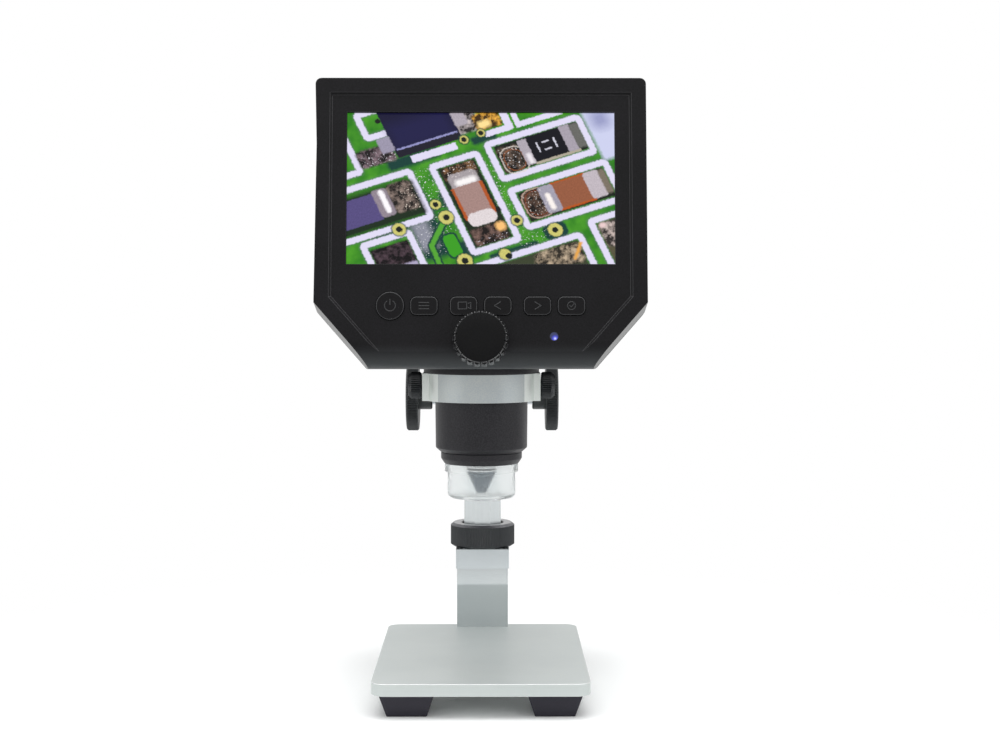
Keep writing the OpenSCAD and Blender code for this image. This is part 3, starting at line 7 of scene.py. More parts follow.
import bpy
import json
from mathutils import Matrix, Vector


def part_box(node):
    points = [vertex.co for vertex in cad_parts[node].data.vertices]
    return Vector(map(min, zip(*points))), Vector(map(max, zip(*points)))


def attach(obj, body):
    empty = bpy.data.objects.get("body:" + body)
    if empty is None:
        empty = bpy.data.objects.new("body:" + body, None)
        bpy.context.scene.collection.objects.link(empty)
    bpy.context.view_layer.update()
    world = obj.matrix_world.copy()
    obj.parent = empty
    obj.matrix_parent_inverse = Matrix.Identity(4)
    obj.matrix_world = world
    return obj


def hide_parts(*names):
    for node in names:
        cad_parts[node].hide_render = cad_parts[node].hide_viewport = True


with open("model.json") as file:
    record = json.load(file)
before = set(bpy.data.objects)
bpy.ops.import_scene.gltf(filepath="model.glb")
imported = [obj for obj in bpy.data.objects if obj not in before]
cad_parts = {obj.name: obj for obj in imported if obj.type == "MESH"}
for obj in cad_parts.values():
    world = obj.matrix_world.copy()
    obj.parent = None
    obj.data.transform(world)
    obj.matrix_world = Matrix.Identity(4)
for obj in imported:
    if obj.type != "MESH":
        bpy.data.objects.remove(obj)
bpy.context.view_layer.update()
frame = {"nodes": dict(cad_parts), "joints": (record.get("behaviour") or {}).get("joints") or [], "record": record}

# %% Names used throughout
import json
import math

import bmesh
import bpy
from mathutils import Matrix, Vector

MM = 0.001
NODES = frame["nodes"]
RECORD = frame["record"]
BODY_OF = {n: body for body, names in RECORD["behaviour"]["bodies"].items() for n in names}

# %% [markdown]
# ## Camera
# The camera stands in front of the display at the height of the buttons' lower edge and looks very
# slightly down. A lens of 57 mm at 0.6 m gives the calm perspective of a product picture.

# %% Place the camera
camera = bpy.data.objects.new("camera", bpy.data.cameras.new("camera"))
camera.data.lens = 57.30
camera.data.sensor_width = 36
camera.data.clip_start = 0.01
camera.location = Vector((4.12, -607.9, 145.9)) * MM
camera.rotation_euler = (math.radians(90 - 2.664), 0, -math.radians(0.27))
bpy.context.scene.collection.objects.link(camera)
bpy.context.scene.camera = camera
print("camera at", tuple(round(c, 3) for c in camera.location))

# %% [markdown]
# ## Tools for node trees
# The world, every finish and the shapes that follow a rule are trees of nodes. These helpers place
# one node each, so that a tree reads like a few lines of arithmetic.

# %% Helpers for node trees
def srgb(red, green, blue):
    """A colour given in 0-255 screen values, as the linear values that shaders work in."""
    def linear(c):
        c /= 255
        return c / 12.92 if c <= 0.04045 else ((c + 0.055) / 1.055) ** 2.4
    return (linear(red), linear(green), linear(blue), 1.0)


def feed(tree, socket, value):
    """Sets a socket to a number or colour, or links another socket into it."""
    if isinstance(value, bpy.types.NodeSocket):
        tree.links.new(value, socket)
    else:
        socket.default_value = value


def maths(tree, operation, *values, clamp=False):
    """One Math node, and the socket of its result."""
    node = tree.nodes.new("ShaderNodeMath")
    node.operation = operation
    node.use_clamp = clamp
    for socket, value in zip(node.inputs, values):
        feed(tree, socket, value)
    return node.outputs[0]


def limited(tree, value):
    """A value kept between 0 and 1. The clamp tick of a Math node does the same, but in a very long
    chain of nodes the renderer leaves such clamps to the end and runs out of room."""
    return maths(tree, "MINIMUM", maths(tree, "MAXIMUM", value, 0.0), 1.0)


def stretched(tree, value, middle, factor):
    """How far a value lies from a middle, times a factor."""
    return maths(tree, "MULTIPLY", maths(tree, "SUBTRACT", value, middle), factor)


def two_products(tree, a, b, c, d):
    """The sum a * b + c * d."""
    return maths(tree, "ADD", maths(tree, "MULTIPLY", a, b), maths(tree, "MULTIPLY", c, d))


def mapped(tree, value, from_min, from_max, to_min=0.0, to_max=1.0, interpolation="LINEAR"):
    """A value carried from one range to another."""
    node = tree.nodes.new("ShaderNodeMapRange")
    node.interpolation_type = interpolation
    for label, given in (("Value", value), ("From Min", from_min), ("From Max", from_max),
                         ("To Min", to_min), ("To Max", to_max)):
        feed(tree, node.inputs[label], given)
    return node.outputs["Result"]


def blend_colours(tree, factor, first, second):
    """The socket of two colours mixed by a factor."""
    node = tree.nodes.new("ShaderNodeMix")
    node.data_type = "RGBA"
    feed(tree, node.inputs[0], factor)
    feed(tree, node.inputs[6], first)
    feed(tree, node.inputs[7], second)
    return node.outputs[2]


NOISE_MIDDLE = 0.5  # the value that a noise texture wavers about


def noise(tree, vector, scale, detail=2.0, roughness=0.5):
    """The value of a noise texture on a vector."""
    node = tree.nodes.new("ShaderNodeTexNoise")
    feed(tree, node.inputs["Vector"], vector)
    feed(tree, node.inputs["Scale"], scale)
    node.inputs["Detail"].default_value = detail
    node.inputs["Roughness"].default_value = roughness
    return node.outputs["Fac"]


def new_group(name, inputs, outputs):
    """An empty shader group. Returns its tree, its input sockets by name, and its output node."""
    tree = bpy.data.node_groups.new(name, "ShaderNodeTree")
    for label, kind, default in inputs:
        socket = tree.interface.new_socket(label, in_out="INPUT", socket_type="NodeSocket" + kind)
        socket.default_value = default
    for label, kind in outputs:
        tree.interface.new_socket(label, in_out="OUTPUT", socket_type="NodeSocket" + kind)
    start = tree.nodes.new("NodeGroupInput")
    end = tree.nodes.new("NodeGroupOutput")
    return tree, {s.name: s for s in start.outputs if s.name}, end


def object_point(tree):
    """The point on the surface, in the object's own coordinates."""
    return tree.nodes.new("ShaderNodeTexCoord").outputs["Object"]


print("helpers for node trees are ready")

# %% [markdown]
# ## Light
# A white tent: one large soft lamp overhead, one at each side and a weak one in front.
# The world shows plain white to the camera and nearly white in reflections, and adds only a little
# fill light.

# %% Lamps
def soft_lamp(name, place, target, width, height, power):
    """A rectangular lamp at a place that faces a target, sizes in metres and power in watts."""
    lamp = bpy.data.objects.new(name, bpy.data.lights.new(name, "AREA"))
    lamp.data.shape = "RECTANGLE"
    lamp.data.size, lamp.data.size_y = width, height
    lamp.data.energy = power
    lamp.location = place
    lamp.rotation_euler = (Vector(target) - Vector(place)).to_track_quat("-Z", "Y").to_euler()
    bpy.context.scene.collection.objects.link(lamp)


soft_lamp("lamp_top", (0.0, -0.15, 1.15), (0, 0, 0.1), 1.3, 1.1, 13.2)
soft_lamp("lamp_left", (-0.95, -0.45, 0.55), (0, 0, 0.12), 0.8, 0.8, 3.2)
soft_lamp("lamp_right", (0.95, -0.45, 0.55), (0, 0, 0.12), 0.8, 0.8, 3.2)
soft_lamp("lamp_front", (0.0, -1.15, 0.75), (0, 0, 0.12), 1.0, 0.5, 1.4)
print("four lamps")

# %% World: white to the camera and in reflections, dim as a light
FILL_LIGHT, MIRRORED_LIGHT = 0.40, 0.85
world = bpy.data.worlds.new("white_tent")
bpy.context.scene.world = world
world.use_nodes = True
tree = world.node_tree
tree.nodes.clear()
rays = tree.nodes.new("ShaderNodeLightPath").outputs
seen = maths(tree, "MAXIMUM", rays["Is Camera Ray"], rays["Is Glossy Ray"])
seen = maths(tree, "MAXIMUM", seen, rays["Is Transmission Ray"])
level = mapped(tree, seen, 0.0, 1.0, FILL_LIGHT, 1.0)
mirrored = mapped(tree, rays["Is Glossy Ray"], 0.0, 1.0, 1.0, MIRRORED_LIGHT)
sky = tree.nodes.new("ShaderNodeBackground")
sky.inputs["Color"].default_value = (1, 1, 1, 1)
feed(tree, sky.inputs["Strength"], maths(tree, "MULTIPLY", level, mirrored))
feed(tree, tree.nodes.new("ShaderNodeOutputWorld").inputs[0], sky.outputs[0])

bpy.context.scene.view_settings.view_transform = "Standard"
print("view transform", bpy.context.scene.view_settings.view_transform)

# %% [markdown]
# ## The grain group
# Each finish is a Principled shader fed by a small set of nodes. An effect that several finishes
# share is a node group with named inputs, built once. Moulded plastic and bead-blasted metal both
# have a fine grain: tiny bumps, a roughness that is not even, and a colour that drifts a little
# across the piece. One group makes all three.

# %% Group: fine grain
grain, given, out = new_group(
    "fine_grain",
    [("Colour", "Color", (0.5, 0.5, 0.5, 1)), ("Other colour", "Color", (0.5, 0.5, 0.5, 1)),
     ("Grain per metre", "Float", 4000.0), ("Roughness", "Float", 0.5), ("Spread", "Float", 0.08),
     ("Speckle", "Float", 0.0)],
    [("Colour", "Color"), ("Roughness", "Float"), ("Height", "Float")],
)
point = object_point(grain)
fine = noise(grain, point, given["Grain per metre"], detail=1.5, roughness=0.6)
drift_per_metre = 45.0
drift = noise(grain, point, drift_per_metre, detail=2.0)
speck = stretched(grain, fine, NOISE_MIDDLE, given["Speckle"])
mix = maths(grain, "ADD", stretched(grain, drift, 0.1, 1.2), speck, clamp=True)
feed(grain, out.inputs["Colour"], blend_colours(grain, mix, given["Colour"], given["Other colour"]))
wobble = stretched(grain, fine, NOISE_MIDDLE, given["Spread"])
feed(grain, out.inputs["Roughness"], maths(grain, "ADD", given["Roughness"], wobble, clamp=True))
feed(grain, out.inputs["Height"], fine)
print("group", grain.name, "with", len(grain.nodes), "nodes")

# %% [markdown]
# ## The drawn-metal group
# Extruded and ground metal carries fine lines along one direction. Noise that is stretched
# along that direction gives them.

# %% Group: drawn lines
drawn, given, out = new_group(
    "drawn_lines",
    [("Stretch", "Vector", (1.0, 1.0, 1.0)), ("Lines per metre", "Float", 3000.0),
     ("Roughness", "Float", 0.35), ("Spread", "Float", 0.1)],
    [("Lines", "Float"), ("Roughness", "Float")],
)
scaled = drawn.nodes.new("ShaderNodeVectorMath")
scaled.operation = "MULTIPLY"
feed(drawn, scaled.inputs[0], object_point(drawn))
feed(drawn, scaled.inputs[1], given["Stretch"])
lines = noise(drawn, scaled.outputs[0], given["Lines per metre"], detail=3.0, roughness=0.7)
feed(drawn, out.inputs["Lines"], lines)
wobble = stretched(drawn, lines, NOISE_MIDDLE, given["Spread"])
feed(drawn, out.inputs["Roughness"], maths(drawn, "ADD", given["Roughness"], wobble, clamp=True))
print("group", drawn.name, "with", len(drawn.nodes), "nodes")

# %% Start a material
def new_material(name):
    """A material with a Principled shader. Returns the material, its tree and the shader."""
    material = bpy.data.materials.new(name)
    material.use_nodes = True
    tree = material.node_tree
    shader = next(n for n in tree.nodes if n.type == "BSDF_PRINCIPLED")
    return material, tree, shader


def use_group(tree, group, **values):
    """Places a node group. Values are given by socket name, with _ for a space."""
    node = tree.nodes.new("ShaderNodeGroup")
    node.node_tree = group
    for label, value in values.items():
        feed(tree, node.inputs[label.replace("_", " ")], value)
    return node


def bump(tree, shader, height, strength, microns):
    """Feeds a height into the shader's normal. Its full height is given in micrometres."""
    node = tree.nodes.new("ShaderNodeBump")
    node.inputs["Strength"].default_value = strength
    node.inputs["Distance"].default_value = microns * 1e-6
    feed(tree, node.inputs["Height"], height)
    feed(tree, shader.inputs["Normal"], node.outputs[0])


def grain_on(tree, shader, colour, other, roughness, per_metre, spread, speckle=0.0):
    """Feeds the fine grain into a shader's colour and roughness. Returns its height."""
    node = use_group(tree, grain, Colour=srgb(*colour), Other_colour=srgb(*other),
                     Grain_per_metre=per_metre, Roughness=roughness, Spread=spread, Speckle=speckle)
    feed(tree, shader.inputs["Base Color"], node.outputs["Colour"])
    feed(tree, shader.inputs["Roughness"], node.outputs["Roughness"])
    return node.outputs["Height"]


def grained(name, colour, other, roughness, per_metre, microns, metallic=0.0, spread=0.1,
            speckle=0.0, specular=0.5, strength=0.4):
    """A material with the fine grain: moulded plastic, rubber or blasted metal."""
    material, tree, shader = new_material(name)
    height = grain_on(tree, shader, colour, other, roughness, per_metre, spread, speckle)
    shader.inputs["Metallic"].default_value = metallic
    shader.inputs["Specular IOR Level"].default_value = specular
    bump(tree, shader, height, strength, microns)
    return material


LINE_SHADE = 0.86


def lined(name, colour, roughness, stretch, per_metre, microns, metallic=1.0):
    """A metal with drawn or ground lines, which are a little darker than the rest."""
    material, tree, shader = new_material(name)
    node = use_group(tree, drawn, Stretch=stretch, Lines_per_metre=per_metre, Roughness=roughness)
    colour = srgb(*colour)
    darker = tuple(LINE_SHADE * c for c in colour[:3]) + (1,)
    shade = blend_colours(tree, node.outputs["Lines"], darker, colour)
    feed(tree, shader.inputs["Base Color"], shade)
    feed(tree, shader.inputs["Roughness"], node.outputs["Roughness"])
    shader.inputs["Metallic"].default_value = metallic
    bump(tree, shader, node.outputs["Lines"], 0.3, microns)
    return material


print("material helpers are ready")

# %% [markdown]
# ## The finishes
# Metals first: fine satin anodising on the plate, column and ring, black anodising on the barrel and
# the knobs. Then the plastics and the rubber. Polished edges get a brighter metal of their own, painted
# near-white as a painted highlight; some parts get lighter copies of a finish as painted light, the
# pole's edges a darker one as painted shade.

# %% Silver metals
plate_silver = grained("plate_silver", (203, 208, 206), (193, 199, 198), 0.46, 3600, 30, metallic=0.52,
                       spread=0.14, speckle=1.6)
plate_side = grained("plate_side", (199, 205, 203), (190, 197, 195), 0.42, 3600, 30, metallic=0.35,
                     spread=0.14, speckle=0.9)
column_silver = grained("column_silver", (193, 197, 197), (182, 188, 190), 0.035, 3600, 10,
                        metallic=0.82, spread=0.05, speckle=1.6, strength=0.12)
# painted light: a lighter copy of the column's metal for the block on top, for the light it catches
block_silver_painted_light = grained("block_silver_painted_light", (203, 209, 211), (194, 201, 204), 0.12, 3600, 10, metallic=0.75,
                       spread=0.05, speckle=1.6, strength=0.12)
ring_silver = grained("ring_silver", (190, 195, 192), (172, 180, 185), 0.32, 3000, 40, metallic=0.66,
                      spread=0.16, speckle=2.4)
# painted light: a lighter copy of the ring's metal for the ends of its ears, for the light they catch
ring_end_painted_light = grained("ring_end_painted_light", (234, 239, 235), (222, 228, 224), 0.34, 3000, 40, metallic=0.5,
                   spread=0.16, speckle=2.4)
# painted highlight: a near-white finish for the ring's rounded edges and the objective's flanges, lighter than
# their metal
ring_edge_painted_highlight = grained("ring_edge_painted_highlight", (252, 253, 253), (246, 248, 248), 0.30, 3000, 10, specular=0.8)
pole_silver = lined("pole_silver", (234, 240, 241), 0.16, (1, 1, 0.03), 1500, 20, metallic=0.72)
# painted shade: a darker copy of the pole's metal for its rounded edges, which draws dark lines between the facets
pole_edge_painted_shade = lined("pole_edge_painted_shade", (138, 148, 153), 0.36, (1, 1, 0.03), 1500, 10, metallic=0.6)
# partly real, partly painted: the bevels are milled bright, and this near-white colour is a painted highlight on
# them
polished_edge_painted_highlight = lined("polished_edge_painted_highlight", (244, 246, 246), 0.20, (1, 1, 1), 2200, 10, metallic=0.35)
rack_grey = lined("rack_grey", (150, 154, 156), 0.36, (0.05, 1, 1), 3200, 30)
shaft_grey = lined("shaft_grey", (196, 200, 204), 0.22, (0.03, 1, 1), 3600, 20)
screw_black = lined("screw_black", (70, 72, 76), 0.38, (1, 1, 1), 3000, 20)
brass = lined("brass", (206, 172, 104), 0.30, (1, 1, 1), 2800, 20)
nickel = lined("nickel", (200, 198, 192), 0.26, (1, 1, 1), 2400, 20)
print("silver metals")

# %% Black metals
barrel_black = grained("barrel_black", (46, 45, 49), (22, 22, 26), 0.42, 2400, 50, metallic=0.1,
                       spread=0.16, speckle=2.2, specular=0.30, strength=0.6)
knurl_black = grained("knurl_black", (60, 62, 64), (44, 47, 50), 0.40, 3200, 30, metallic=0.1,
                      spread=0.12, specular=0.4, speckle=2.0)
disc_black = grained("disc_black", (78, 80, 81), (56, 59, 61), 0.40, 3200, 30, metallic=0.1, spread=0.12,
                     specular=0.4, speckle=2.0)
# partly real, partly painted: a smooth glossy black for the collar's top, with a lighter colour that is a painted
# sheen
black_painted_sheen = grained("black_painted_sheen", (106, 106, 111), (92, 93, 97), 0.11, 3200, 10, metallic=0.3,
                      spread=0.05, specular=0.8, strength=0.1)
carriage_black = grained("carriage_black", (34, 35, 38), (30, 31, 34), 0.46, 4600, 40, metallic=0.1,
                         specular=0.35)
bracket_grey = grained("bracket_grey", (96, 100, 104), (86, 90, 95), 0.42, 4200, 30, metallic=0.8)
lens_metal = grained("lens_metal", (44, 74, 90), (20, 38, 50), 0.34, 1500, 30, metallic=0.25,
                     speckle=2.4)
print("black metals")

# %% Plastics and rubber
case_plastic = grained("case_plastic", (22, 21, 24), (8, 8, 9), 0.50, 2300, 60, spread=0.20, speckle=2.4,
                       specular=0.12, strength=0.6)
# painted highlight: a lighter, smoother copy of the case plastic for its rounded edges, so they show as light
# lines
case_edge_painted_highlight = grained("case_edge_painted_highlight", (52, 52, 55), (42, 43, 46), 0.34, 2300, 30)
# partly real, partly painted: smoother plastic for the lower slanted sides, painted lighter as a painted
# reflection of the floor
case_side_painted_reflection = grained("case_side_painted_reflection", (44, 46, 45), (38, 40, 39), 0.26, 2300, 20, spread=0.08, specular=0.8,
                    strength=0.25)
button_plastic = grained("button_plastic", (21, 20, 22), (9, 9, 10), 0.44, 2600, 40, specular=0.12,
                         speckle=2.0)
# painted highlight: a lighter copy of the button plastic for the caps' rounded edges and their raised signs
button_edge_painted_highlight = grained("button_edge_painted_highlight", (50, 50, 52), (42, 42, 45), 0.36, 2600, 30, specular=0.4)
focus_plastic = grained("focus_plastic", (17, 17, 18), (8, 8, 9), 0.42, 2600, 30, specular=0.10,
                        speckle=2.0)
# partly real, partly painted: a smoother copy of the knob plastic for the lobes, painted lighter as a painted
# glint
lobe_plastic_painted_glint = grained("lobe_plastic_painted_glint", (50, 50, 52), (40, 40, 42), 0.24, 2600, 20, specular=0.7,
                       strength=0.25)
foot_rubber = grained("foot_rubber", (50, 48, 56), (42, 41, 49), 0.62, 2400, 60, specular=0.25, speckle=1.0)
nylon = grained("nylon", (226, 222, 206), (218, 213, 196), 0.45, 2600, 30)
board_green = grained("board_green", (30, 108, 60), (24, 92, 50), 0.30, 1500, 30)
board_white = grained("board_white", (232, 232, 228), (224, 224, 220), 0.35, 1500, 20)
pot_plastic = grained("pot_plastic", (52, 96, 148), (46, 86, 134), 0.32, 1800, 20)
sleeve_blue = grained("sleeve_blue", (44, 104, 176), (38, 92, 160), 0.28, 700, 30)
card_plastic = grained("card_plastic", (30, 30, 32), (26, 26, 28), 0.38, 3000, 20)
phosphor = grained("phosphor", (240, 226, 150), (232, 214, 132), 0.35, 2600, 20)
print("plastics and rubber")

# %% [markdown]
# ## Tools for pieces
# A CAD node arrives as loose triangles. Its copy is merged, its flat faces are joined again, and
# then a narrow bevel rounds every edge, because no real edge is perfectly sharp: the thin line
# of light on it is what makes a surface read as solid. Weighted normals keep the flat faces flat.

# %% Helpers for meshes
def smooth(mesh, angle=20):
    """Smooth shading with sharp edges above an angle in degrees."""
    for face in mesh.polygons:
        face.use_smooth = True
    mesh.set_sharp_from_angle(angle=math.radians(angle))


def mesh_object(name, mesh, *materials):
    """An object at the origin, linked to the scene."""
    piece = bpy.data.objects.new(name, mesh)
    mesh.materials.clear()
    for material in materials:
        mesh.materials.append(material)
    bpy.context.scene.collection.objects.link(piece)
    return piece


def settled(piece):
    """The piece with its modifiers worked into its mesh, and none left."""
    bpy.context.view_layer.update()
    shape = piece.evaluated_get(bpy.context.evaluated_depsgraph_get())
    mesh = bpy.data.meshes.new_from_object(shape)
    materials = [slot.material for slot in piece.material_slots]
    piece.modifiers.clear()
    old = piece.data
    piece.data = mesh
    if not mesh.materials:
        for material in materials:
            mesh.materials.append(material)
    bpy.data.meshes.remove(old)


def merged_copy(node):
    """A CAD node's mesh with its doubles merged and its flat faces joined."""
    work = bmesh.new()
    work.from_mesh(NODES[node].data)
    bmesh.ops.remove_doubles(work, verts=work.verts, dist=2e-6)
    bmesh.ops.dissolve_limit(work, angle_limit=math.radians(0.6), verts=work.verts, edges=work.edges)
    mesh = bpy.data.meshes.new(node + "_copy")
    work.to_mesh(mesh)
    work.free()
    return mesh


def stands_for(piece, node):
    """The piece rides on its node's body and hides the node."""
    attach(piece, BODY_OF[node])
    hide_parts(node)
    return piece


def softened(node, name, width, material, edge=None, steps=2, angle=30):
    """A copy of a CAD node with rounded edges; edge is the finish of the rounding itself."""
    piece = mesh_object(name, merged_copy(node), material, *([edge] if edge else []))
    smooth(piece.data)
    round_off = piece.modifiers.new("round_off", "BEVEL")
    round_off.width = width * MM
    round_off.segments = steps
    round_off.limit_method = "ANGLE"
    round_off.angle_limit = math.radians(angle)
    if edge:
        round_off.material = 1
    even_shade = piece.modifiers.new("even_shade", "WEIGHTED_NORMAL")
    even_shade.weight = 100
    even_shade.keep_sharp = True
    settled(piece)
    return stands_for(piece, node)


def repaint(piece, material, chosen):
    """Gives the faces that a test of centre and normal picks a finish of their own."""
    piece.data.materials.append(material)
    last = len(piece.data.materials) - 1
    for face in piece.data.polygons:
        if chosen(face.center, face.normal):
            face.material_index = last


def finish(material, *nodes):
    """CAD nodes that keep their own meshes get their material."""
    for node in nodes:
        slots = NODES[node].data.materials
        for index in range(len(slots)):
            slots[index] = material
        if not slots:
            slots.append(material)


def box_of(node):
    """A node's lowest corner, highest corner and middle."""
    low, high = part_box(node)
    return low, high, (low + high) / 2


print("mesh helpers are ready")

# %% [markdown]
# ## Stand
# The plate is sawn from a bar and blasted, its edges are milled bright and painted near-white, a painted
# highlight. The column is smoother and mirrors the plate; the block on it is a lighter copy of its metal,
# painted light. The pole is a drawn octagon, its rounded edges painted darker as painted shade.

# %% Plate, feet and column
plate = softened("base_plate", "plate", 0.22, plate_silver, edge=polished_edge_painted_highlight)
repaint(plate, plate_side, lambda centre, normal: abs(normal.z) < 0.05)
softened("base_feet", "feet", 0.4, foot_rubber, steps=3)
softened("column", "stand_column", 0.2, column_silver, edge=polished_edge_painted_highlight)
softened("column_head", "head_block", 0.4, block_silver_painted_light, edge=polished_edge_painted_highlight)
finish(screw_black, "base_screws", "column_screws")
finish(nylon, "collet_ring")
print("plate, feet and column")

# %% Pole and rack
# the pole's rounded edges take the darker copy of its metal: painted shade
softened("pole", "octagonal_pole", 0.3, pole_silver, edge=pole_edge_painted_shade)
softened("pole_plug", "end_plug", 0.4, button_plastic)
softened("stand_rack", "lifting_rack", 0.06, rack_grey)
finish(screw_black, "rack_screws")
print("pole and rack")

# %% Carriage and clamp ring
softened("carriage", "carriage_block", 0.6, carriage_black, steps=3)
ring = softened("clamp_ring", "head_ring", 0.32, ring_silver, edge=ring_edge_painted_highlight, angle=35)
ear_start = 15.5 * MM
# the ends of the ring's ears take the lighter copy of its metal: painted light
repaint(ring, ring_end_painted_light, lambda centre, normal: abs(centre.x) > ear_start and normal.y < -0.2
        and abs(normal.z) < 0.3)
finish(screw_black, "drag_screw", "arm_screws")
finish(brass, "shaft_bushes", "stand_pinion", "clamp_pad_left", "clamp_pad_right")
finish(shaft_grey, "pinion_shaft")
print("carriage and clamp ring")

# %% [markdown]
# ## Knurled knobs
# Fine ribs round a knob let dry fingers grip it. They follow a rule, so Geometry Nodes cut them:
# a plain turned blank goes in, and every point that lies outside the groove's radius at its angle
# is pulled in to it. The blank has a few points for each rib. Taper narrows the rim along its axis.

# %% Geometry Nodes: cut ribs into a turned blank
def socket(tree, label, kind, where="INPUT"):
    """One input or output of a tree."""
    return tree.interface.new_socket(label, in_out=where, socket_type="NodeSocket" + kind)


def rim_tree(name, rule):
    """A tree that limits each point's distance from the Z axis to what a rule gives for its angle."""
    tree = bpy.data.node_groups.new(name, "GeometryNodeTree")
    socket(tree, "Geometry", "Geometry")
    names = {}
    for label, kind in (("Radius", "Float"), ("Cut", "Float"), ("Count", "Int"), ("Taper", "Float"),
                        ("Material", "Material")):
        names[label] = socket(tree, label, kind).identifier
    socket(tree, "Geometry", "Geometry", "OUTPUT")
    start = tree.nodes.new("NodeGroupInput")
    end = tree.nodes.new("NodeGroupOutput")
    place = tree.nodes.new("GeometryNodeInputPosition")
    split = tree.nodes.new("ShaderNodeSeparateXYZ")
    feed(tree, split.inputs[0], place.outputs[0])
    x, y, z = split.outputs
    angle = maths(tree, "ARCTAN2", y, x)
    turn = maths(tree, "DIVIDE", angle, math.tau)
    phase = maths(tree, "MULTIPLY", turn, start.outputs["Count"])
    limit = rule(tree, start, phase)
    narrow = maths(tree, "SUBTRACT", 1.0, maths(tree, "MULTIPLY", z, start.outputs["Taper"]))
    limit = maths(tree, "MULTIPLY", limit, narrow)
    reach = maths(tree, "MAXIMUM", maths(tree, "SQRT", two_products(tree, x, x, y, y)), 1e-6)
    share = maths(tree, "MINIMUM", 1.0, maths(tree, "DIVIDE", limit, reach))
    join = tree.nodes.new("ShaderNodeCombineXYZ")
    for axis, value in zip(join.inputs, (maths(tree, "MULTIPLY", x, share),
                                         maths(tree, "MULTIPLY", y, share), z)):
        feed(tree, axis, value)
    move = tree.nodes.new("GeometryNodeSetPosition")
    feed(tree, move.inputs["Geometry"], start.outputs["Geometry"])
    feed(tree, move.inputs["Position"], join.outputs[0])
    real = tree.nodes.new("GeometryNodeRealizeInstances")
    feed(tree, real.inputs[0], move.outputs[0])
    paint = tree.nodes.new("GeometryNodeSetMaterial")
    feed(tree, paint.inputs["Geometry"], real.outputs[0])
    feed(tree, paint.inputs["Material"], start.outputs["Material"])
    feed(tree, end.inputs[0], paint.outputs[0])
    return tree, names


def rib_rule(tree, start, phase):
    """V grooves: the limit falls from the radius by the cut and rises again."""
    wave = maths(tree, "PINGPONG", phase, 0.5)
    fall = maths(tree, "MULTIPLY", maths(tree, "MULTIPLY", wave, 2.0), start.outputs["Cut"])
    return maths(tree, "SUBTRACT", start.outputs["Radius"], fall)


rib_tree, rib_inputs = rim_tree("cut_ribs", rib_rule)
print("ribs are cut by a tree of", len(rib_tree.nodes), "nodes")

# %% Turned blanks
def turned(name, profile, segments, closed=True):
    """A mesh turned round Z from a profile of (radius, height) points in millimetres."""
    work = bmesh.new()
    rings = []
    for radius, height in profile:
        if radius < 1e-6:
            rings.append([work.verts.new((0, 0, height * MM))] * segments)
        else:
            turns = [math.tau * i / segments for i in range(segments)]
            rings.append([work.verts.new((radius * MM * math.cos(t), radius * MM * math.sin(t), height * MM))
                          for t in turns])
    last = len(rings) if closed else len(rings) - 1
    for k in range(last):
        lower, upper = rings[k], rings[(k + 1) % len(rings)]
        for i in range(segments):
            j = (i + 1) % segments
            corners = []
            for corner in (lower[i], lower[j], upper[j], upper[i]):
                if corner not in corners:
                    corners.append(corner)
            if len(corners) > 2:
                work.faces.new(corners)
    bmesh.ops.recalc_face_normals(work, faces=work.faces)
    mesh = bpy.data.meshes.new(name)
    work.to_mesh(mesh)
    work.free()
    return mesh


def cut_rim(name, mesh, tree, inputs, radius, cut, count, material, matrix, taper=0.0):
    """Runs a rim tree on a blank and puts the result in its place."""
    piece = mesh_object(name, mesh, material)
    cutter = piece.modifiers.new("cutter", "NODES")
    cutter.node_group = tree
    cutter[inputs["Radius"]] = radius * MM
    cutter[inputs["Cut"]] = cut * MM
    cutter[inputs["Count"]] = count
    cutter[inputs["Taper"]] = taper
    cutter[inputs["Material"]] = material
    settled(piece)
    piece.data.transform(matrix)
    smooth(piece.data, 28)
    return piece


def knurled(name, profile, radius, cut, ribs, material, matrix, closed=True):
    """A turned piece with V grooves round its rim. Four points make one rib."""
    blank = turned(name + "_blank", profile, 4 * ribs, closed)
    return cut_rim(name, blank, rib_tree, rib_inputs, radius, cut, ribs, material, matrix)


def on_cross_shaft(node):
    """Where a knob that is turned round Z goes on a shaft along X, and its length in millimetres."""
    low, high, middle = box_of(node)
    side = math.copysign(1, middle.x)
    inner = min(low.x, high.x, key=abs)
    place = Matrix.Translation((inner, middle.y, middle.z)) @ Matrix.Rotation(side * math.pi / 2, 4, "Y")
    return place, (high.x - low.x) / MM


print("blanks are turned from profiles")

# %% Lock collar
low, high, middle = box_of("lock_collar")
collar_r = (high.x - low.x) / 2 / MM
collar_h = (high.z - low.z) / MM
spigot_bore, pole_bore, lip_h = 10.05, 8.62, 1.4
collar_profile = [(spigot_bore, 0), (collar_r - 1.2, 0), (collar_r, 0.8), (collar_r, 2.6),
                  (collar_r, collar_h - 3.0), (collar_r, collar_h - 1.0), (collar_r - 1.2, collar_h),
                  (8.9, collar_h), (pole_bore, collar_h - 0.3), (pole_bore, collar_h - lip_h),
                  (spigot_bore, collar_h - lip_h)]
collar = knurled("knurled_collar", collar_profile, collar_r, 0.22, 120, knurl_black,
                 Matrix.Translation((middle.x, middle.y, low.z)))
# the collar's top face takes the glossy black with the painted sheen
repaint(collar, black_painted_sheen, lambda centre, normal: normal.z > 0.5)
stands_for(collar, "lock_collar")
print("collar", round(collar_r, 2), "x", round(collar_h, 2), "mm")

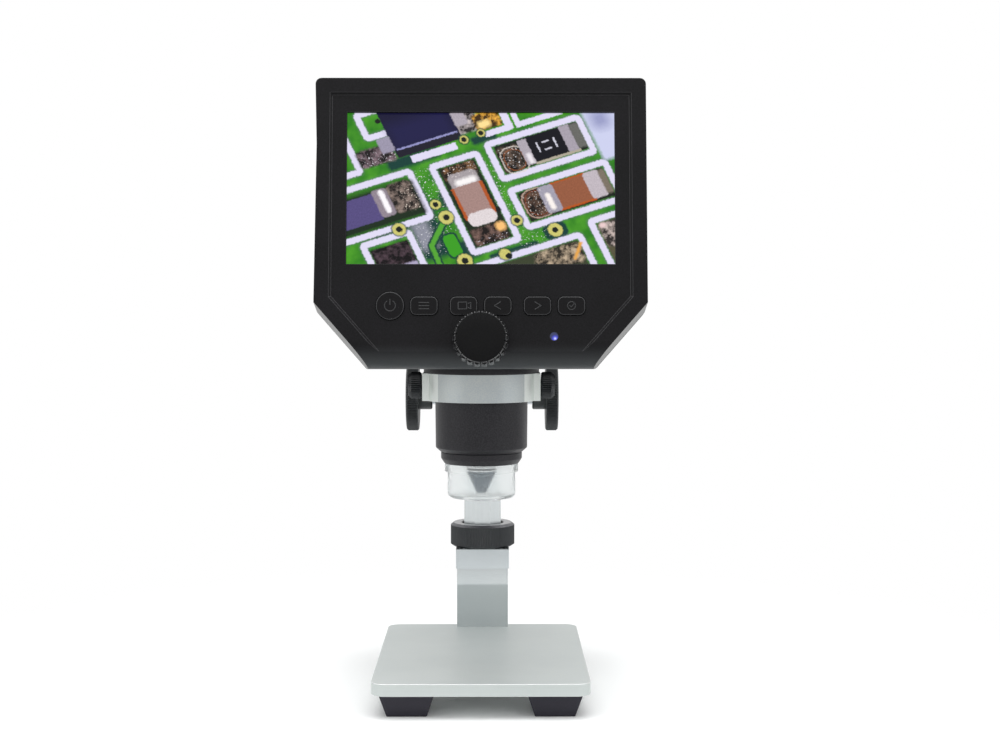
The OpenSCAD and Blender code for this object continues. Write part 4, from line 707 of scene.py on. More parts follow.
# %% Stand knobs
knob_r, knob_w, hub_h, dish = 13.5, 4.8, 5.3, 0.5
face = hub_h + knob_w
knob_profile = [(3.02, 0), (4.6, 0), (5.0, 0.4), (5.0, hub_h), (knob_r - 0.5, hub_h), (knob_r, hub_h + 0.5),
                (knob_r, hub_h + 1.8), (knob_r, face - 1.6), (knob_r, face - 0.55), (knob_r - 0.6, face),
                (11.2, face), (10.8, face - dish), (6.4, face - dish), (6.0, face), (3.4, face),
                (3.02, face - 0.4)]
for node in ("stand_knob_right", "stand_knob_left"):
    place = on_cross_shaft(node)[0]
    stands_for(knurled(node + "_knurled", knob_profile, knob_r, 0.42, 120, disc_black, place), node)
print("stand knobs", 2 * knob_r, "mm across")

# %% Clamp screws
screw_r, stem_r, head_w = 5.0, 2.0, 5.0
for node in ("clamp_screw_right", "clamp_screw_left"):
    place, length = on_cross_shaft(node)
    head = length - head_w
    screw_profile = [(0, 0), (1.6, 0), (stem_r, 0.4), (stem_r, head - 0.2), (4.5, head),
                     (screw_r, head + 0.5), (screw_r, head + 2.2), (screw_r, length - 1.3),
                     (3.8, length), (1.8, length), (1.5, length - 0.3), (0, length - 0.3)]
    screw = knurled(node + "_knurled", screw_profile, screw_r, 0.36, 40, knurl_black, place, closed=False)
    stands_for(screw, node)
print("clamp screws", round(length, 2), "mm long")

# %% [markdown]
# ## Lens barrel and cap
# The barrel and its end ring are turned, black anodised. The cap is frosted plastic: light goes
# through it but is scattered, so the lens behind it is only a soft shape. The cap itself glows very
# slightly, painted light: the light ring inside gives no light.

# %% Barrel and end ring
softened("barrel", "lens_barrel", 0.3, barrel_black)
softened("end_ring", "barrel_end_ring", 0.25, barrel_black)
print("barrel and end ring")

# %% Frosted cap
frosted, tree, shader = new_material("frosted_cap_painted_glow")
height = grain_on(tree, shader, (252, 254, 254), (250, 252, 252), 0.45, 900.0, 0.08)
shader.inputs["Transmission Weight"].default_value = 0.92
# painted light: the cap glows faintly of itself; no lamp is inside it
shader.inputs["Emission Color"].default_value = (1, 1, 1, 1)
shader.inputs["Emission Strength"].default_value = 0.02
shader.inputs["IOR"].default_value = 1.06
bump(tree, shader, height, 0.2, 100)
softened("diffuser_cap", "frosted_diffuser", 0.25, frosted, steps=3)
print("frosted cap")

# %% Lens and light ring
low, high, middle = box_of("objective")
tip = Vector((middle.x, middle.y, low.z))
neck_r, tube_r, tube_top, bore_r = 5.2, 6.95, 20.65, 3.1
cone_profile = [(1.62, 0), (1.9, 0), (5.4, 7.5), (5.6, 7.9), (5.6, 8.15), (5.75, 8.2), (5.75, 8.55),
                (neck_r, 8.6), (neck_r, 9.25), (5.75, 9.3), (5.75, 9.85), (5.3, 9.9), (5.3, 10.6),
                (tube_r, 10.7), (tube_r, tube_top), (bore_r, tube_top), (bore_r, 5.2), (1.62, 2.2)]
cone = mesh_object("objective_cone", turned("cone", cone_profile, 96), lens_metal)
cone.data.transform(Matrix.Translation(tip))
smooth(cone.data)
# the objective's two flanges take the near-white edge finish: a painted highlight
repaint(cone, ring_edge_painted_highlight, lambda centre, normal: 8.16 < (centre.z - tip.z) / MM < 9.87
        and (centre - tip).xy.length > 5.6 * MM)
stands_for(cone, "objective")
softened("lens_carrier", "carrier_tube", 0.2, bracket_grey)
finish(brass, "focus_rack")
finish(board_white, "led_board")
finish(phosphor, "leds")
glass, tree, shader = new_material("coated_glass")
grain_on(tree, shader, (190, 205, 225), (205, 190, 225), 0.04, 300.0, 0.02)
shader.inputs["Transmission Weight"].default_value = 0.9
finish(glass, "objective_lens")
print("lens and light ring")

# %% [markdown]
# ## Display head
# The front and rear cases are moulded in fine-textured black plastic. The front leans back by 8
# degrees, so a small frame of reference goes with it: across, up the face, and out of the face.
# Rounded edges are smoother than the rest and painted lighter, a painted highlight that shows as thin
# light lines. The lower slanted sides are painted lighter too, a painted reflection of the floor.

# %% The face's own directions
LEAN = math.radians(8)
ACROSS = Vector((1, 0, 0))
UP = Vector((0, math.sin(LEAN), math.cos(LEAN)))
OUT = Vector((0, -math.cos(LEAN), math.sin(LEAN)))
FOOT_Y = -53.3057  # where the plane of the face meets the case's lowest level, in millimetres
FOOT = Vector((0, FOOT_Y * MM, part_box("front_case")[0].z))


def face_place(across, up, out):
    """The matrix that takes millimetres on the face (across, up, out) into the scene."""
    turn = Matrix((ACROSS, UP, OUT)).transposed().to_4x4()
    origin = FOOT + (ACROSS * across + UP * up + OUT * out) * MM
    return Matrix.Translation(origin) @ turn @ Matrix.Scale(MM, 4)


print("the face stands on", tuple(round(c, 4) for c in FOOT))

# %% Plastic of the front case: a little smoother, and painted lighter at its lower lip as a painted reflection of the floor
lip_plastic_painted_reflection = grained("lip_plastic_painted_reflection", (22, 21, 24), (8, 8, 9), 0.44, 2300, 60, spread=0.20, speckle=2.4,
                      specular=0.14, strength=0.5)
tree = lip_plastic_painted_reflection.node_tree
shader = next(n for n in tree.nodes if n.type == "BSDF_PRINCIPLED")
tall = tree.nodes.new("ShaderNodeSeparateXYZ")
feed(tree, tall.inputs[0], object_point(tree))
fade_start, fade_end = 10.0, -1.0
painted_floor_reflection = mapped(tree, tall.outputs[2], FOOT.z + fade_start * MM, FOOT.z + fade_end * MM,
                interpolation="SMOOTHSTEP")
plain = shader.inputs["Base Color"].links[0].from_socket
# painted reflection: the colour lightens towards the bottom of the face, standing in for the white floor that the
# lip mirrors
feed(tree, shader.inputs["Base Color"], blend_colours(tree, painted_floor_reflection, plain, srgb(70, 73, 75)))
print("the lip fades over", fade_start - fade_end, "mm")

# %% Cases
lip_top, lip_half = 9.5 * MM, 46 * MM
front = softened("front_case", "front_shell", 0.25, lip_plastic_painted_reflection, edge=case_edge_painted_highlight, angle=20)
# the lower lip faces take the plastic with the painted floor reflection
repaint(front, lip_plastic_painted_reflection, lambda centre, normal: (centre - FOOT).dot(UP) < lip_top
        and abs(centre.x) < lip_half and normal.dot(OUT) > 0.3 and abs(normal.x) < 0.3)
# the lower slanted sides take the lighter plastic: a painted reflection of the floor
repaint(front, case_side_painted_reflection, lambda centre, normal: normal.z < -0.3 and abs(normal.x) > 0.5)
softened("rear_case", "rear_shell", 0.3, case_plastic, edge=case_edge_painted_highlight, angle=20)
softened("battery_door", "door_leaf", 0.25, case_plastic, edge=case_edge_painted_highlight)
finish(screw_black, "case_screws")
print("cases")

# %% Boards and small parts inside
finish(rack_grey, "lcd_panel")
finish(board_green, "main_board", "button_board", "sensor_board")
finish(nickel, "usb_socket", "battery_contacts")
finish(sleeve_blue, "battery_cell")
finish(card_plastic, "memory_card")
finish(bracket_grey, "focus_bracket")
finish(pot_plastic, "dimmer_pot")
finish(shaft_grey, "focus_shaft")
finish(brass, "focus_pinion")
print("boards and small parts")

# %% [markdown]
# ## Buttons
# Each button is a moulded cap that stands a little out of its hole, with a plain raised sign: thin
# ridges of the same plastic, no higher than a fingernail can feel. The caps' rounded edges and the signs
# are painted lighter, a painted highlight.

# %% Raised signs
RIDGE_W, RIDGE_H = 0.34, 0.14


def ridge(work, start, end, place):
    """One raised stroke between two points in millimetres, sloped at its sides."""
    start, end = Vector(start), Vector(end)
    ahead = (end - start).normalized()
    side = Vector((-ahead.y, ahead.x))
    rings = []
    for half, level in ((RIDGE_W / 2, -0.1), (RIDGE_W / 2, RIDGE_H * 0.4), (RIDGE_W / 2 - 0.09, RIDGE_H)):
        rings.append([work.verts.new(place @ Vector((*(spot + ahead * k * half + side * m * half), level)))
                      for spot, k, m in ((start, -1, -1), (end, 1, -1), (end, 1, 1), (start, -1, 1))])
    faces = [work.faces.new(rings[-1]), work.faces.new(rings[0])]
    for lower, upper in zip(rings, rings[1:]):
        faces += [work.faces.new((lower[i], lower[(i + 1) % 4], upper[(i + 1) % 4], upper[i]))
                  for i in range(4)]
    for face in faces:
        # the ridges take the second slot, the lighter edge colour: a painted highlight
        face.material_index = 1
    bmesh.ops.recalc_face_normals(work, faces=faces)


def arc(radius, first, last, steps=14):
    """Points on an arc, angles in degrees."""
    turns = [math.radians(first + (last - first) * i / steps) for i in range(steps + 1)]
    return [(radius * math.cos(t), radius * math.sin(t)) for t in turns]


SIGNS = {
    "button_power": [arc(1.9, 125, 415, 20), [(0, 0.4), (0, 2.2)]],
    "button_menu": [[(-1.7, 1.1), (1.7, 1.1)], [(-1.7, 0), (1.7, 0)], [(-1.7, -1.1), (1.7, -1.1)]],
    "button_mode": [[(-1.9, -1.2), (1.1, -1.2), (1.1, 1.2), (-1.9, 1.2), (-1.9, -1.2)],
                    [(1.6, -0.7), (2.5, -1.1), (2.5, 1.1), (1.6, 0.7)]],
    "button_back": [[(0.9, 1.3), (-1.2, 0), (0.9, -1.3)]],
    "button_next": [[(-0.9, 1.3), (1.2, 0), (-0.9, -1.3)]],
    "button_ok": [arc(1.4, 0, 360, 16), [(-0.6, 0), (-0.1, -0.5), (0.8, 0.6)]],
}
for node, strokes in SIGNS.items():
    piece = softened(node, node + "_cap", 0.3, button_plastic, edge=button_edge_painted_highlight, steps=3)
    points = [v.co - FOOT for v in piece.data.vertices]
    ups = [p.dot(UP) / MM for p in points]
    rights = [p.x / MM for p in points]
    top = max(p.dot(OUT) for p in points) / MM
    place = face_place((min(rights) + max(rights)) / 2, (min(ups) + max(ups)) / 2, top)
    work = bmesh.new()
    work.from_mesh(piece.data)
    for stroke in strokes:
        for start, end in zip(stroke, stroke[1:]):
            ridge(work, start, end, place)
    work.to_mesh(piece.data)
    work.free()
print(len(SIGNS), "buttons, the last one stands", round(top, 2), "mm out of the face")

# %% Status light: bright in the middle, dim at the rim
pilot, tree, shader = new_material("pilot_blue")
off_middle, stretch = 0.35, 40  # the spot sits to one side, and reaches far along Y
spot = tree.nodes.new("ShaderNodeMapping")
spot.vector_type = "TEXTURE"
spot.inputs["Location"].default_value = box_of("status_led")[2] + Vector((off_middle * MM, 0, 0))
spot.inputs["Scale"].default_value = (MM, stretch * MM, MM)
feed(tree, spot.inputs["Vector"], object_point(tree))
far = tree.nodes.new("ShaderNodeVectorMath")
far.operation = "LENGTH"
feed(tree, far.inputs[0], spot.outputs[0])
ramp = tree.nodes.new("ShaderNodeValToRGB")
light_r = 1.6
feed(tree, ramp.inputs[0], maths(tree, "DIVIDE", far.outputs["Value"], light_r))
stops = ramp.color_ramp.elements
for share, colour in ((0.12, (214, 218, 255)), (0.34, (96, 104, 236)), (0.62, (48, 54, 168)),
                      (0.9, (40, 46, 84))):
    stops.new(share).color = srgb(*colour)
for spare in (len(stops) - 1, 0):
    stops.remove(stops[spare])
feed(tree, shader.inputs["Emission Color"], ramp.outputs["Color"])
shader.inputs["Emission Strength"].default_value = 0.95
shader.inputs["Base Color"].default_value = srgb(26, 30, 60)
shader.inputs["Roughness"].default_value = 0.15
finish(pilot, "status_led")
print("status light with", len(stops), "shades")

# %% [markdown]
# ## The picture on the display
# A switched-on display shows what the lens sees: a circuit board, much enlarged. The picture is
# light, so it goes to the emission of the glass. It is laid up from patches, as a painter would:
# green board first, then white print, chips and solder. One group gives the mask of a patch with
# round corners, or of its outline. Rows and columns of the board are askew, so the patches are
# placed on a slanted grid.

# %% Group: one patch
patch, given, out = new_group(
    "board_patch",
    [(label, "Float", default) for label, default in (
        ("Along", 0.0), ("Down", 0.0), ("Centre along", 0.0), ("Centre down", 0.0), ("Half along", 1.0),
        ("Half down", 1.0), ("Cosine", 1.0), ("Sine", 0.0), ("Corner", 0.3), ("Soft", 0.4), ("Line", 1.0))],
    [("Inside", "Float"), ("Outline", "Float")],
)
along = maths(patch, "SUBTRACT", given["Along"], given["Centre along"])
down = maths(patch, "SUBTRACT", given["Down"], given["Centre down"])
turned_along = two_products(patch, along, given["Cosine"], down, given["Sine"])
turned_down = maths(patch, "SUBTRACT", maths(patch, "MULTIPLY", down, given["Cosine"]),
                    maths(patch, "MULTIPLY", along, given["Sine"]))
beyond = [maths(patch, "ADD", maths(patch, "SUBTRACT", maths(patch, "ABSOLUTE", reach), given[half]),
                given["Corner"])
          for reach, half in ((turned_along, "Half along"), (turned_down, "Half down"))]
outer = [maths(patch, "MAXIMUM", side, 0.0) for side in beyond]
reach = maths(patch, "SQRT", two_products(patch, outer[0], outer[0], outer[1], outer[1]))
inner = maths(patch, "MINIMUM", maths(patch, "MAXIMUM", beyond[0], beyond[1]), 0.0)
distance = maths(patch, "SUBTRACT", maths(patch, "ADD", reach, inner), given["Corner"])
off_line = maths(patch, "SUBTRACT", maths(patch, "ABSOLUTE", distance),
                 maths(patch, "MULTIPLY", given["Line"], 0.5))
for label, gap in (("Inside", distance), ("Outline", off_line)):
    edge = maths(patch, "SUBTRACT", 0.5, maths(patch, "DIVIDE", gap, given["Soft"]))
    feed(patch, out.inputs[label], limited(patch, edge))
print("group", patch.name, "with", len(patch.nodes), "nodes")

# %% Display: millimetres on the glass, and the slanted grid
display, tree, shader = new_material("display_picture")
low, high, middle = box_of("lcd_glass")
half_glass = 0.35
flat = tree.nodes.new("ShaderNodeMapping")
flat.vector_type = "TEXTURE"
flat.inputs["Location"].default_value = middle + OUT * half_glass * MM
flat.inputs["Rotation"].default_value = (-LEAN, 0, 0)
flat.inputs["Scale"].default_value = (MM, MM, MM)
feed(tree, flat.inputs["Vector"], object_point(tree))
plane = tree.nodes.new("ShaderNodeSeparateXYZ")
feed(tree, plane.inputs[0], flat.outputs[0])
right, up = plane.outputs[0], plane.outputs[2]
sheet = tree.nodes.new("ShaderNodeCombineXYZ")
feed(tree, sheet.inputs[0], right)
feed(tree, sheet.inputs[1], up)
mm_point = sheet.outputs[0]
ALONG_THE_ROWS, DOWN_THE_COLUMNS = (0.909, 0.443), (0.304, -0.964)
raggedness = 0.8
ragged = [stretched(tree, noise(tree, mm_point, scale, detail=1.0), NOISE_MIDDLE, raggedness)
          for scale in (1.1, 1.35)]
grid_along, grid_down = [
    maths(tree, "ADD", rag, two_products(tree, right, way[0], up, way[1]))
    for rag, way in zip(ragged, (ALONG_THE_ROWS, DOWN_THE_COLUMNS))]
fine = noise(tree, mm_point, 1.7, detail=3.0, roughness=0.65)
broad = noise(tree, mm_point, 0.16, detail=2.0)
crumpled = noise(tree, mm_point, 0.34, detail=5.0, roughness=0.66)
lumps = limited(tree, stretched(tree, crumpled, 0.44, 5.2))
glints = limited(tree, stretched(tree, noise(tree, mm_point, 1.5, detail=2.0), 0.60, 9.0))
print("the picture is", round((high.x - low.x) / MM, 1), "mm wide")

# %% Display: the green board
tint = limited(tree, stretched(tree, broad, 0.34, 3.0))
board = blend_colours(tree, tint, srgb(44, 128, 22), srgb(82, 168, 36))
board = blend_colours(tree, maths(tree, "MULTIPLY", fine, 0.34), board, srgb(30, 96, 34))
picture = {"colour": board, "layers": 0}
PLAIN, WORN, SOLDER, SPECKS = "plain", "worn", "solder", "specks"


def shades(colour, *levels):
    """A colour at several levels of brightness."""
    return [tuple(min(1.0, c * level) for c in colour[:3]) + (1,) for level in levels]


def lay(along, down, half_along, half_down, colour, corner=0.3, soft=0.4, look=PLAIN, amount=1.0,
        line=0.0, turn=0.0):
    """Lays one patch on the picture, by its middle, its half sizes and its turn in degrees."""
    node = use_group(tree, patch, Along=grid_along, Down=grid_down, Centre_along=along, Centre_down=down,
                     Half_along=half_along, Half_down=half_down, Cosine=math.cos(math.radians(turn)),
                     Sine=math.sin(math.radians(turn)), Corner=corner, Soft=soft, Line=line)
    mask = node.outputs["Outline" if line else "Inside"]
    if amount != 1.0:
        mask = maths(tree, "MULTIPLY", mask, amount)
    colour = srgb(*colour)
    if look == WORN:
        colour = blend_colours(tree, fine, *shades(colour, 0.66, 1.34))
    elif look == SOLDER:
        colour = blend_colours(tree, lumps, *shades(colour, 0.12, 2.6))
    elif look == SPECKS:
        mask = maths(tree, "MULTIPLY", mask, glints)
    picture["colour"] = blend_colours(tree, mask, picture["colour"], colour)
    picture["layers"] += 1


def lay_part(what, *rows):
    """Lays the patches of one part, from the back to the front."""
    for row in rows:
        lay(*row)
    print(what, "laid,", picture["layers"], "layers so far")


TEAL, WHITE, GREEN, SILVER = (14, 62, 54), (226, 221, 246), (58, 158, 30), (176, 168, 178)
lay_part(
    "board",
    *((*place, TEAL, corner, soft, WORN) for *place, corner, soft in (
        (-24, 10, 5.2, 9.5, 2.0, 2.4), (-17, -17.6, 9.5, 2.1, 0.8, 1.6), (-27, -0.5, 8, 5.5, 2, 2.5),
        (-34, 4.4, 9, 1.7, 0.8, 1.2), (1, 25.4, 9, 1.7, 1, 1.0), (17.4, 22.4, 4.2, 3.2, 2.5, 0.6),
        (-13.5, 19.5, 3.5, 3.5, 1, 1.5), (9, -17.3, 4.5, 1.5, 1, 1.2), (-12.8, 0, 2.2, 3, 1, 1.5))),
    (-25.6, 10, 3.0, 5.6, (158, 158, 174), 1.4, 3.0, WORN, 0.8),
    *((*place, (236, 236, 240), 1.5, 2.0, SPECKS) for place in (
        (-25, 9, 6, 9), (-19, 4, 5, 8), (5, 5, 3, 14), (-16, -8, 4, 5), (10, 22.5, 6, 2))),
    (-18.0, 16.6, 2.9, 4.8, TEAL, 1.8, 0.5),
    (-18.0, 16.6, 2.3, 4.2, GREEN, 1.5, 0.4),
)
for half, colour in ((1.5, TEAL), (0.85, (84, 166, 50))):
    lay(-20.5, 10.5, half, 6.6, colour, 0.6, 0.5, turn=47.7)
    lay(-25.0, 18.6, half, 4.8, colour, 0.6, 0.5, turn=3.3)

# %% Display: white print
for place in ((-4.1, 4.3, 8.3, 17.1), (25.7, -7.7, 16.9, 6.9), (26.7, 11.2, 17.5, 7.3),
              (-45.0, -4.8, 24.6, 9.0), (-38.6, 20.0, 8.4, 12.8), (-1.8, 36.3, 26.2, 9.8),
              (45.2, 38.0, 15.2, 14.9), (-23.0, -34.2, 5.7, 4.6), (-50.0, -32.0, 13.9, 13.2)):
    lay(*place, (96, 118, 108), 0.9, 0.9, line=3.1, amount=0.55)
    lay(*place, WHITE, 0.9, 0.45, line=2.25)
lay_part("print", *((*place, WHITE) for place in (
    (-9.3, -17.6, 8.4, 1.35), (14.8, -18.4, 4.8, 1.1), (19.2, -22, 1.35, 4.4), (30, -18.3, 8.6, 1.0),
    (22.4, -21.5, 1.0, 3.2))))

# %% Display: the large chip and its leads
lay_part(
    "the large chip and its leads",
    (-28.6, -22.6, 6.6, 3.4, (84, 70, 76), 1.2, 1.0, SOLDER),
    (-28, -21.5, 6, 2.4, (240, 236, 244), 1, 1.4, SPECKS),
    (5.6, -25.2, 4.4, 4.4, (134, 126, 126), 0.8, 1.0, SOLDER),
    (12.9, -23.3, 4.7, 3.2, (176, 122, 44), 1.0, 0.8, SOLDER),
    (11.4, -22.2, 2.2, 1.3, (255, 226, 150), 1.0, 1.4),
    (-9.8, -30.2, 11.9, 9.6, (20, 18, 52), 0.4, 0.4, WORN),
    (-10, -27, 11.0, 5.0, (34, 32, 86), 2.0, 5.0, PLAIN, 0.5),
    (-9.8, -21.0, 11.7, 1.5, (26, 24, 40), 0.4, 0.4),
    (-9.6, -22.5, 11.2, 0.32, (150, 150, 202), 0.2, 0.4),
    (-23.8, -25.4, 2.4, 2.9, (156, 150, 172), 0.7, 0.6, WORN),
    (4.2, -27.0, 2.3, 2.9, SILVER, 0.7, 0.6, WORN),
)

# %% Display: the black resistor, top right
lay_part(
    "the black resistor",
    (26.0, -7.8, 15.3, 5.4, (18, 28, 20), 0.4, 0.5, WORN),
    (14.4, -7.2, 3.9, 5.0, (66, 54, 46), 1.4, 0.7, SOLDER),
    *((15.6, -6.4, radius, radius + 0.6, shade, 3.2, 0.35, WORN, 0.75, 0.4)
      for radius, shade in ((4.3, (226, 214, 204)), (3.4, (150, 84, 40)))),
    (30.4, -2.9, 8.4, 0.55, (176, 168, 150), 0.2, 0.3),
    (20.7, -7.9, 1.75, 4.8, SILVER, 0.4, 0.4, WORN),
    (20.9, -5.2, 0.8, 2.0, (250, 244, 250), 0.5, 1.0, PLAIN, 0.8),
    (28.5, -8.1, 6.2, 4.8, (9, 9, 20), 0.2, 0.35),
    (36.5, -8.2, 1.9, 5.0, (168, 160, 172), 0.5, 0.4, WORN),
    (39.9, -8.2, 1.6, 4.7, (104, 104, 100), 0.8, 0.8, WORN),
    *((*place, (214, 214, 228), 0.15, 0.35) for place in (
        (25.2, -8.2, 0.25, 1.9), (28.3, -9.6, 1.3, 0.25), (28.3, -6.7, 1.3, 0.25), (31.5, -8.2, 0.25, 1.9))),
)

# %% Display: the capacitor in the middle
lay_part(
    "the capacitor in the middle",
    (-4.1, 4.3, 6.8, 15.6, (24, 40, 22), 0.5, 0.7, WORN),
    (-5.6, 4.3, 1.2, 8.0, (60, 118, 36), 0.8, 1.2),
    (-4.0, -8.4, 6.0, 2.6, (92, 66, 44), 1.2, 0.8, SOLDER),
    (-4.3, 16.6, 6.0, 3.3, (80, 62, 56), 1.0, 0.8, SOLDER),
    (-4.0, 18.6, 5.6, 1.2, (232, 226, 240), 0.8, 1.0, SPECKS),
    (0.5, 15.0, 1.7, 1.6, (252, 196, 120), 1.2, 1.2),
    (-4.0, -4.7, 5.2, 3.4, (166, 158, 162), 1.8, 0.6, WORN),
    (-3.6, -4.3, 3.8, 1.2, (252, 248, 248), 1.1, 1.4),
    (-4.1, 3.4, 5.7, 6.3, (178, 84, 32), 0.3, 0.4),
    (-4.2, 3.4, 4.6, 6.4, (166, 134, 128), 0.3, 0.4, WORN),
    (-4.0, 10.1, 5.1, 2.6, (228, 216, 218), 2.4, 0.5, WORN),
)

# %% Display: the brown capacitor, right
lay_part(
    "the brown capacitor",
    (26.7, 11.2, 15.8, 5.7, (22, 32, 20), 0.6, 0.7, WORN),
    (15.5, 11.0, 4.6, 5.2, (70, 52, 42), 2.6, 0.6, SOLDER),
    *((16.2, 11.0, radius, radius + 0.5, shade, 3.8, 0.35, WORN, 0.75, 0.4)
      for radius, shade in ((4.9, (206, 176, 160)), (4.1, (132, 62, 30)))),
    (29.2, 10.9, 6.6, 5.4, (186, 84, 18), 0.3, 0.4),
    (29.2, 10.8, 6.7, 4.8, (150, 90, 62), 0.3, 0.5, WORN),
    (20.7, 10.9, 2.7, 5.2, (164, 160, 176), 1.0, 0.5, WORN),
    (20.5, 11.8, 0.9, 3.2, (252, 244, 240), 0.8, 0.9),
    (37.6, 10.7, 2.9, 5.1, (194, 184, 192), 1.2, 0.5, WORN),
    (41.4, 10.7, 1.2, 4.6, (124, 114, 100), 0.8, 0.8, WORN),
)

# %% Display: glints on the solder
lay_part(
    "glints on the solder",
    (-4.0, -8.6, 5.6, 2.2, (250, 238, 232), 1.0, 1.0, SPECKS),
    (14.8, -7.4, 3.4, 4.4, (236, 236, 240), 1.0, 1.0, SPECKS),
    (15.8, 10.9, 3.8, 4.6, (236, 232, 226), 1.0, 1.0, SPECKS),
)

# %% Display: the violet capacitor, left
lay_part(
    "the violet capacitor",
    (-46, -4.6, 24.0, 7.6, (46, 112, 26), 0.5, 0.6, WORN),
    (-36, -4.2, 15.2, 6.7, (20, 28, 22), 1.0, 1.4, WORN, 0.92),
    (-26.4, -5.8, 4.4, 5.6, (92, 80, 74), 1.8, 0.8, SOLDER),
    (-24.2, -4.8, 3.0, 4.8, (255, 240, 224), 0.9, 1.2, SPECKS),
    (-43.4, -4.9, 7.6, 5.1, (86, 76, 128), 0.4, 0.4, WORN),
    (-33.4, -5.6, 2.7, 5.3, (146, 134, 146), 1.3, 0.6, WORN),
    (-32.9, -5.9, 0.95, 4.5, (254, 250, 255), 0.9, 0.8),
)

# %% Display: parts that the edge of the picture cuts off
lay_part(
    "parts that the edge of the picture cuts off",
    (-38.6, 21.2, 7.0, 11.6, (52, 40, 46), 0.6, 0.8, SOLDER),
    (-35.4, 18.9, 3.6, 1.1, (176, 168, 198), 0.5, 0.8),
    (-1.8, 36.3, 24.7, 8.3, (58, 66, 44), 0.6, 0.8, WORN),
    (14.5, 32.2, 8.6, 4.0, (128, 114, 96), 3.0, 1.4, SOLDER),
    (21.4, 31.8, 3.6, 0.5, (236, 168, 74), 0.4, 0.8, PLAIN, 1.0, 0.0, -48),
    (45.2, 38, 13.7, 13.4, (88, 84, 62), 0.6, 0.8, WORN),
    (37.4, 29.4, 5.6, 4.8, (136, 124, 120), 2.4, 1.4, SOLDER),
    (33.4, 25.6, 1.2, 0.8, (236, 206, 206), 0.8, 0.9),
)

# %% Display: the blurred corner
lay_part(
    "the blurred corner",
    (53.4, -10, 9.0, 13.5, (206, 210, 240), 1.0, 1.6),
    (49.6, -11.4, 3.2, 3.4, (140, 144, 190), 2.6, 4.5, PLAIN, 0.8),
)

# %% Display: plated holes
for along, down, ring, hole in (
        (-17.1, 0.6, 1.8, 1.0), (-15.7, 6.2, 2.5, 1.15), (-32.7, 5.3, 2.3, 1.1), (6.6, 14.8, 1.9, 1.05),
        (17.4, 22.2, 2.5, 1.05), (-16.5, 23.2, 2.6, 1.15), (-2.6, 25.2, 2.0, 0.0), (-1.6, 26.2, 0.0, 1.15),
        (2.4, 9.0, 0.0, 1.0), (2.4, -18.9, 1.5, 0.95), (8.9, -19.4, 1.4, 0.9), (-22.6, -34.6, 0.0, 0.9)):
    if ring:
        lay(along, down, ring + 0.5, ring + 0.5, TEAL, ring + 0.5, 0.5, amount=0.8)
        lay(along, down, ring, ring, (206, 200, 112), ring, 0.5, WORN)
    if hole:
        lay(along, down, hole, hole, (20, 26, 22), hole, 0.4)
print("holes laid,", picture["layers"], "layers so far")

# %% Display: the glass shines with the picture
feed(tree, shader.inputs["Emission Color"], picture["colour"])
shader.inputs["Emission Strength"].default_value = 1.0
shader.inputs["Base Color"].default_value = srgb(6, 6, 8)
shader.inputs["Roughness"].default_value = 0.22
shader.inputs["Specular IOR Level"].default_value = 0.1
finish(display, "lcd_glass")
print(picture["layers"], "layers in all")

# %% [markdown]
# ## Focus knob and dimmer wheel
# The focus knob has round lobes instead of ribs, and narrows towards its front. The same kind of
# tree shapes it, with a rule for round lobes.

# %% Geometry Nodes: round lobes
def lobe_rule(tree, start, phase):
    """Each lobe is a round bead; the limit is lowest in the notch between two lobes."""
    near = maths(tree, "SUBTRACT", maths(tree, "FRACT", maths(tree, "ADD", phase, 0.5)), 0.5)
    across = maths(tree, "MULTIPLY", near, 2.0)
    left = maths(tree, "SUBTRACT", 1.0, maths(tree, "MULTIPLY", across, across))
    arch = maths(tree, "SQRT", maths(tree, "MAXIMUM", left, 0.0))
    drop = maths(tree, "MULTIPLY", maths(tree, "SUBTRACT", 1.0, arch), start.outputs["Cut"])
    return maths(tree, "SUBTRACT", start.outputs["Radius"], drop)


lobe_tree, lobe_inputs = rim_tree("round_lobes", lobe_rule)
print("lobes are cut by a tree of", len(lobe_tree.nodes), "nodes")

# %% Focus knob
LOBES, POINTS_PER_LOBE, LOBE_CUT = 22, 16, 1.25
bead_reach, narrowing, lobes_start = 1.025, 12.0, 8.6
focus_pin = Vector(next(j["pos_m"] for j in frame["joints"] if j["name"] == "focus_turn"))
knob_turn = OUT.to_track_quat("Z", "Y").to_matrix().to_4x4()
low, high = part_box("focus_knob")
focus_r = (high.x - low.x) / 2 / MM
focus_profile = [(2.02, 1.6), (9.6, 1.6), (focus_r, 2.0), (focus_r, 3.4), (focus_r, 4.6), (9.9, 5.4),
                 (9.75, 6.0), (9.5, 6.35), (8.95, 6.5), (8.85, 6.55), (8.85, 7.0), (8.75, 7.45),
                 (8.55, 7.75), (8.2, 7.87), (4.0, 7.95), (0, 7.95)]
blank = turned("focus", focus_profile, LOBES * POINTS_PER_LOBE, closed=False)
focus = cut_rim("lobed_focus_knob", blank, lobe_tree, lobe_inputs, focus_r * bead_reach, LOBE_CUT, LOBES,
                focus_plastic, Matrix.Translation(focus_pin) @ knob_turn, taper=narrowing)
# the sides of the lobes take the lighter plastic: a painted glint on each bead
repaint(focus, lobe_plastic_painted_glint, lambda centre, normal: normal.dot(OUT) < 0.9
        and (centre - focus_pin).cross(OUT).length > lobes_start * MM)
stands_for(focus, "focus_knob")
print("focus knob at", tuple(round(c, 4) for c in focus_pin))

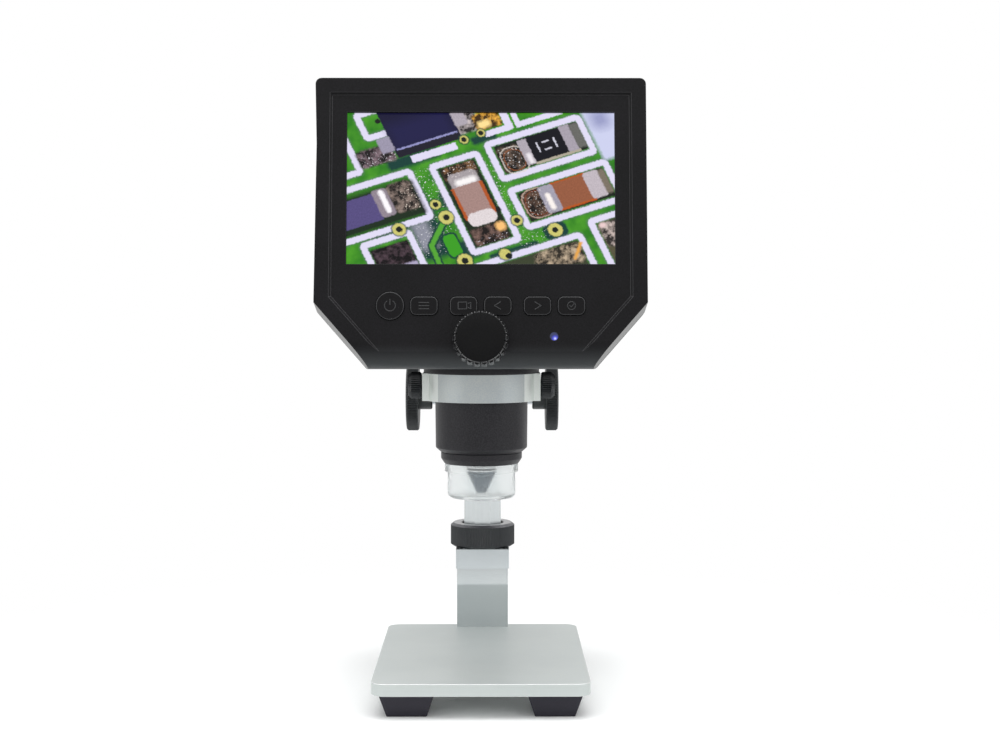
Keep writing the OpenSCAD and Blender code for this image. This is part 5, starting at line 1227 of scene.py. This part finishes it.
# %% Dimmer wheel
wheel_r = 7.0
wheel_profile = [(1.55, -1.5), (6.5, -1.5), (wheel_r, -1.0), (wheel_r, 0), (wheel_r, 1.0), (6.5, 1.5),
                 (1.55, 1.5)]
wheel = knurled("dimmer_knurled", wheel_profile, wheel_r, 0.35, 30, focus_plastic,
                Matrix.Translation(box_of("dimmer_wheel")[2]))
stands_for(wheel, "dimmer_wheel")
print("dimmer wheel", 2 * wheel_r, "mm across")

# %% [markdown]
# ## Floor
# A white sheet under the object keeps its soft shadow. Further out it fades into the white world, so
# no horizon shows.

# %% White floor
white_floor, tree, shader = new_material("white_floor")
tree.nodes.remove(shader)
rays = tree.nodes.new("ShaderNodeLightPath")
diffuse = tree.nodes.new("ShaderNodeBsdfDiffuse")
diffuse.inputs["Color"].default_value = (0.97, 0.98, 0.98, 1)
lift = tree.nodes.new("ShaderNodeEmission")
lift.inputs["Color"].default_value = (1, 1, 1, 1)
feed(tree, lift.inputs["Strength"], maths(tree, "MULTIPLY", rays.outputs["Is Camera Ray"], 0.03))
both = tree.nodes.new("ShaderNodeAddShader")
feed(tree, both.inputs[0], diffuse.outputs[0])
feed(tree, both.inputs[1], lift.outputs[0])
span = tree.nodes.new("ShaderNodeVectorMath")
span.operation = "LENGTH"
feed(tree, span.inputs[0], object_point(tree))
fade_start, fade_end = 0.10, 0.26  # metres from the middle
fade = mapped(tree, span.outputs["Value"], fade_start, fade_end, interpolation="SMOOTHSTEP")
clear = tree.nodes.new("ShaderNodeBsdfTransparent")
edge_mix = tree.nodes.new("ShaderNodeMixShader")
feed(tree, edge_mix.inputs[0], fade)
feed(tree, edge_mix.inputs[1], both.outputs[0])
feed(tree, edge_mix.inputs[2], clear.outputs[0])
surface = next(n for n in tree.nodes if n.type == "OUTPUT_MATERIAL").inputs[0]
feed(tree, surface, edge_mix.outputs[0])
ground = bpy.data.meshes.new("floor")
half = 0.5
corners = [(-half, -half, 0), (half, -half, 0), (half, half, 0), (-half, half, 0)]
ground.from_pydata(corners, [], [(0, 1, 2, 3)])
floor = mesh_object("floor", ground, white_floor)
print("floor")
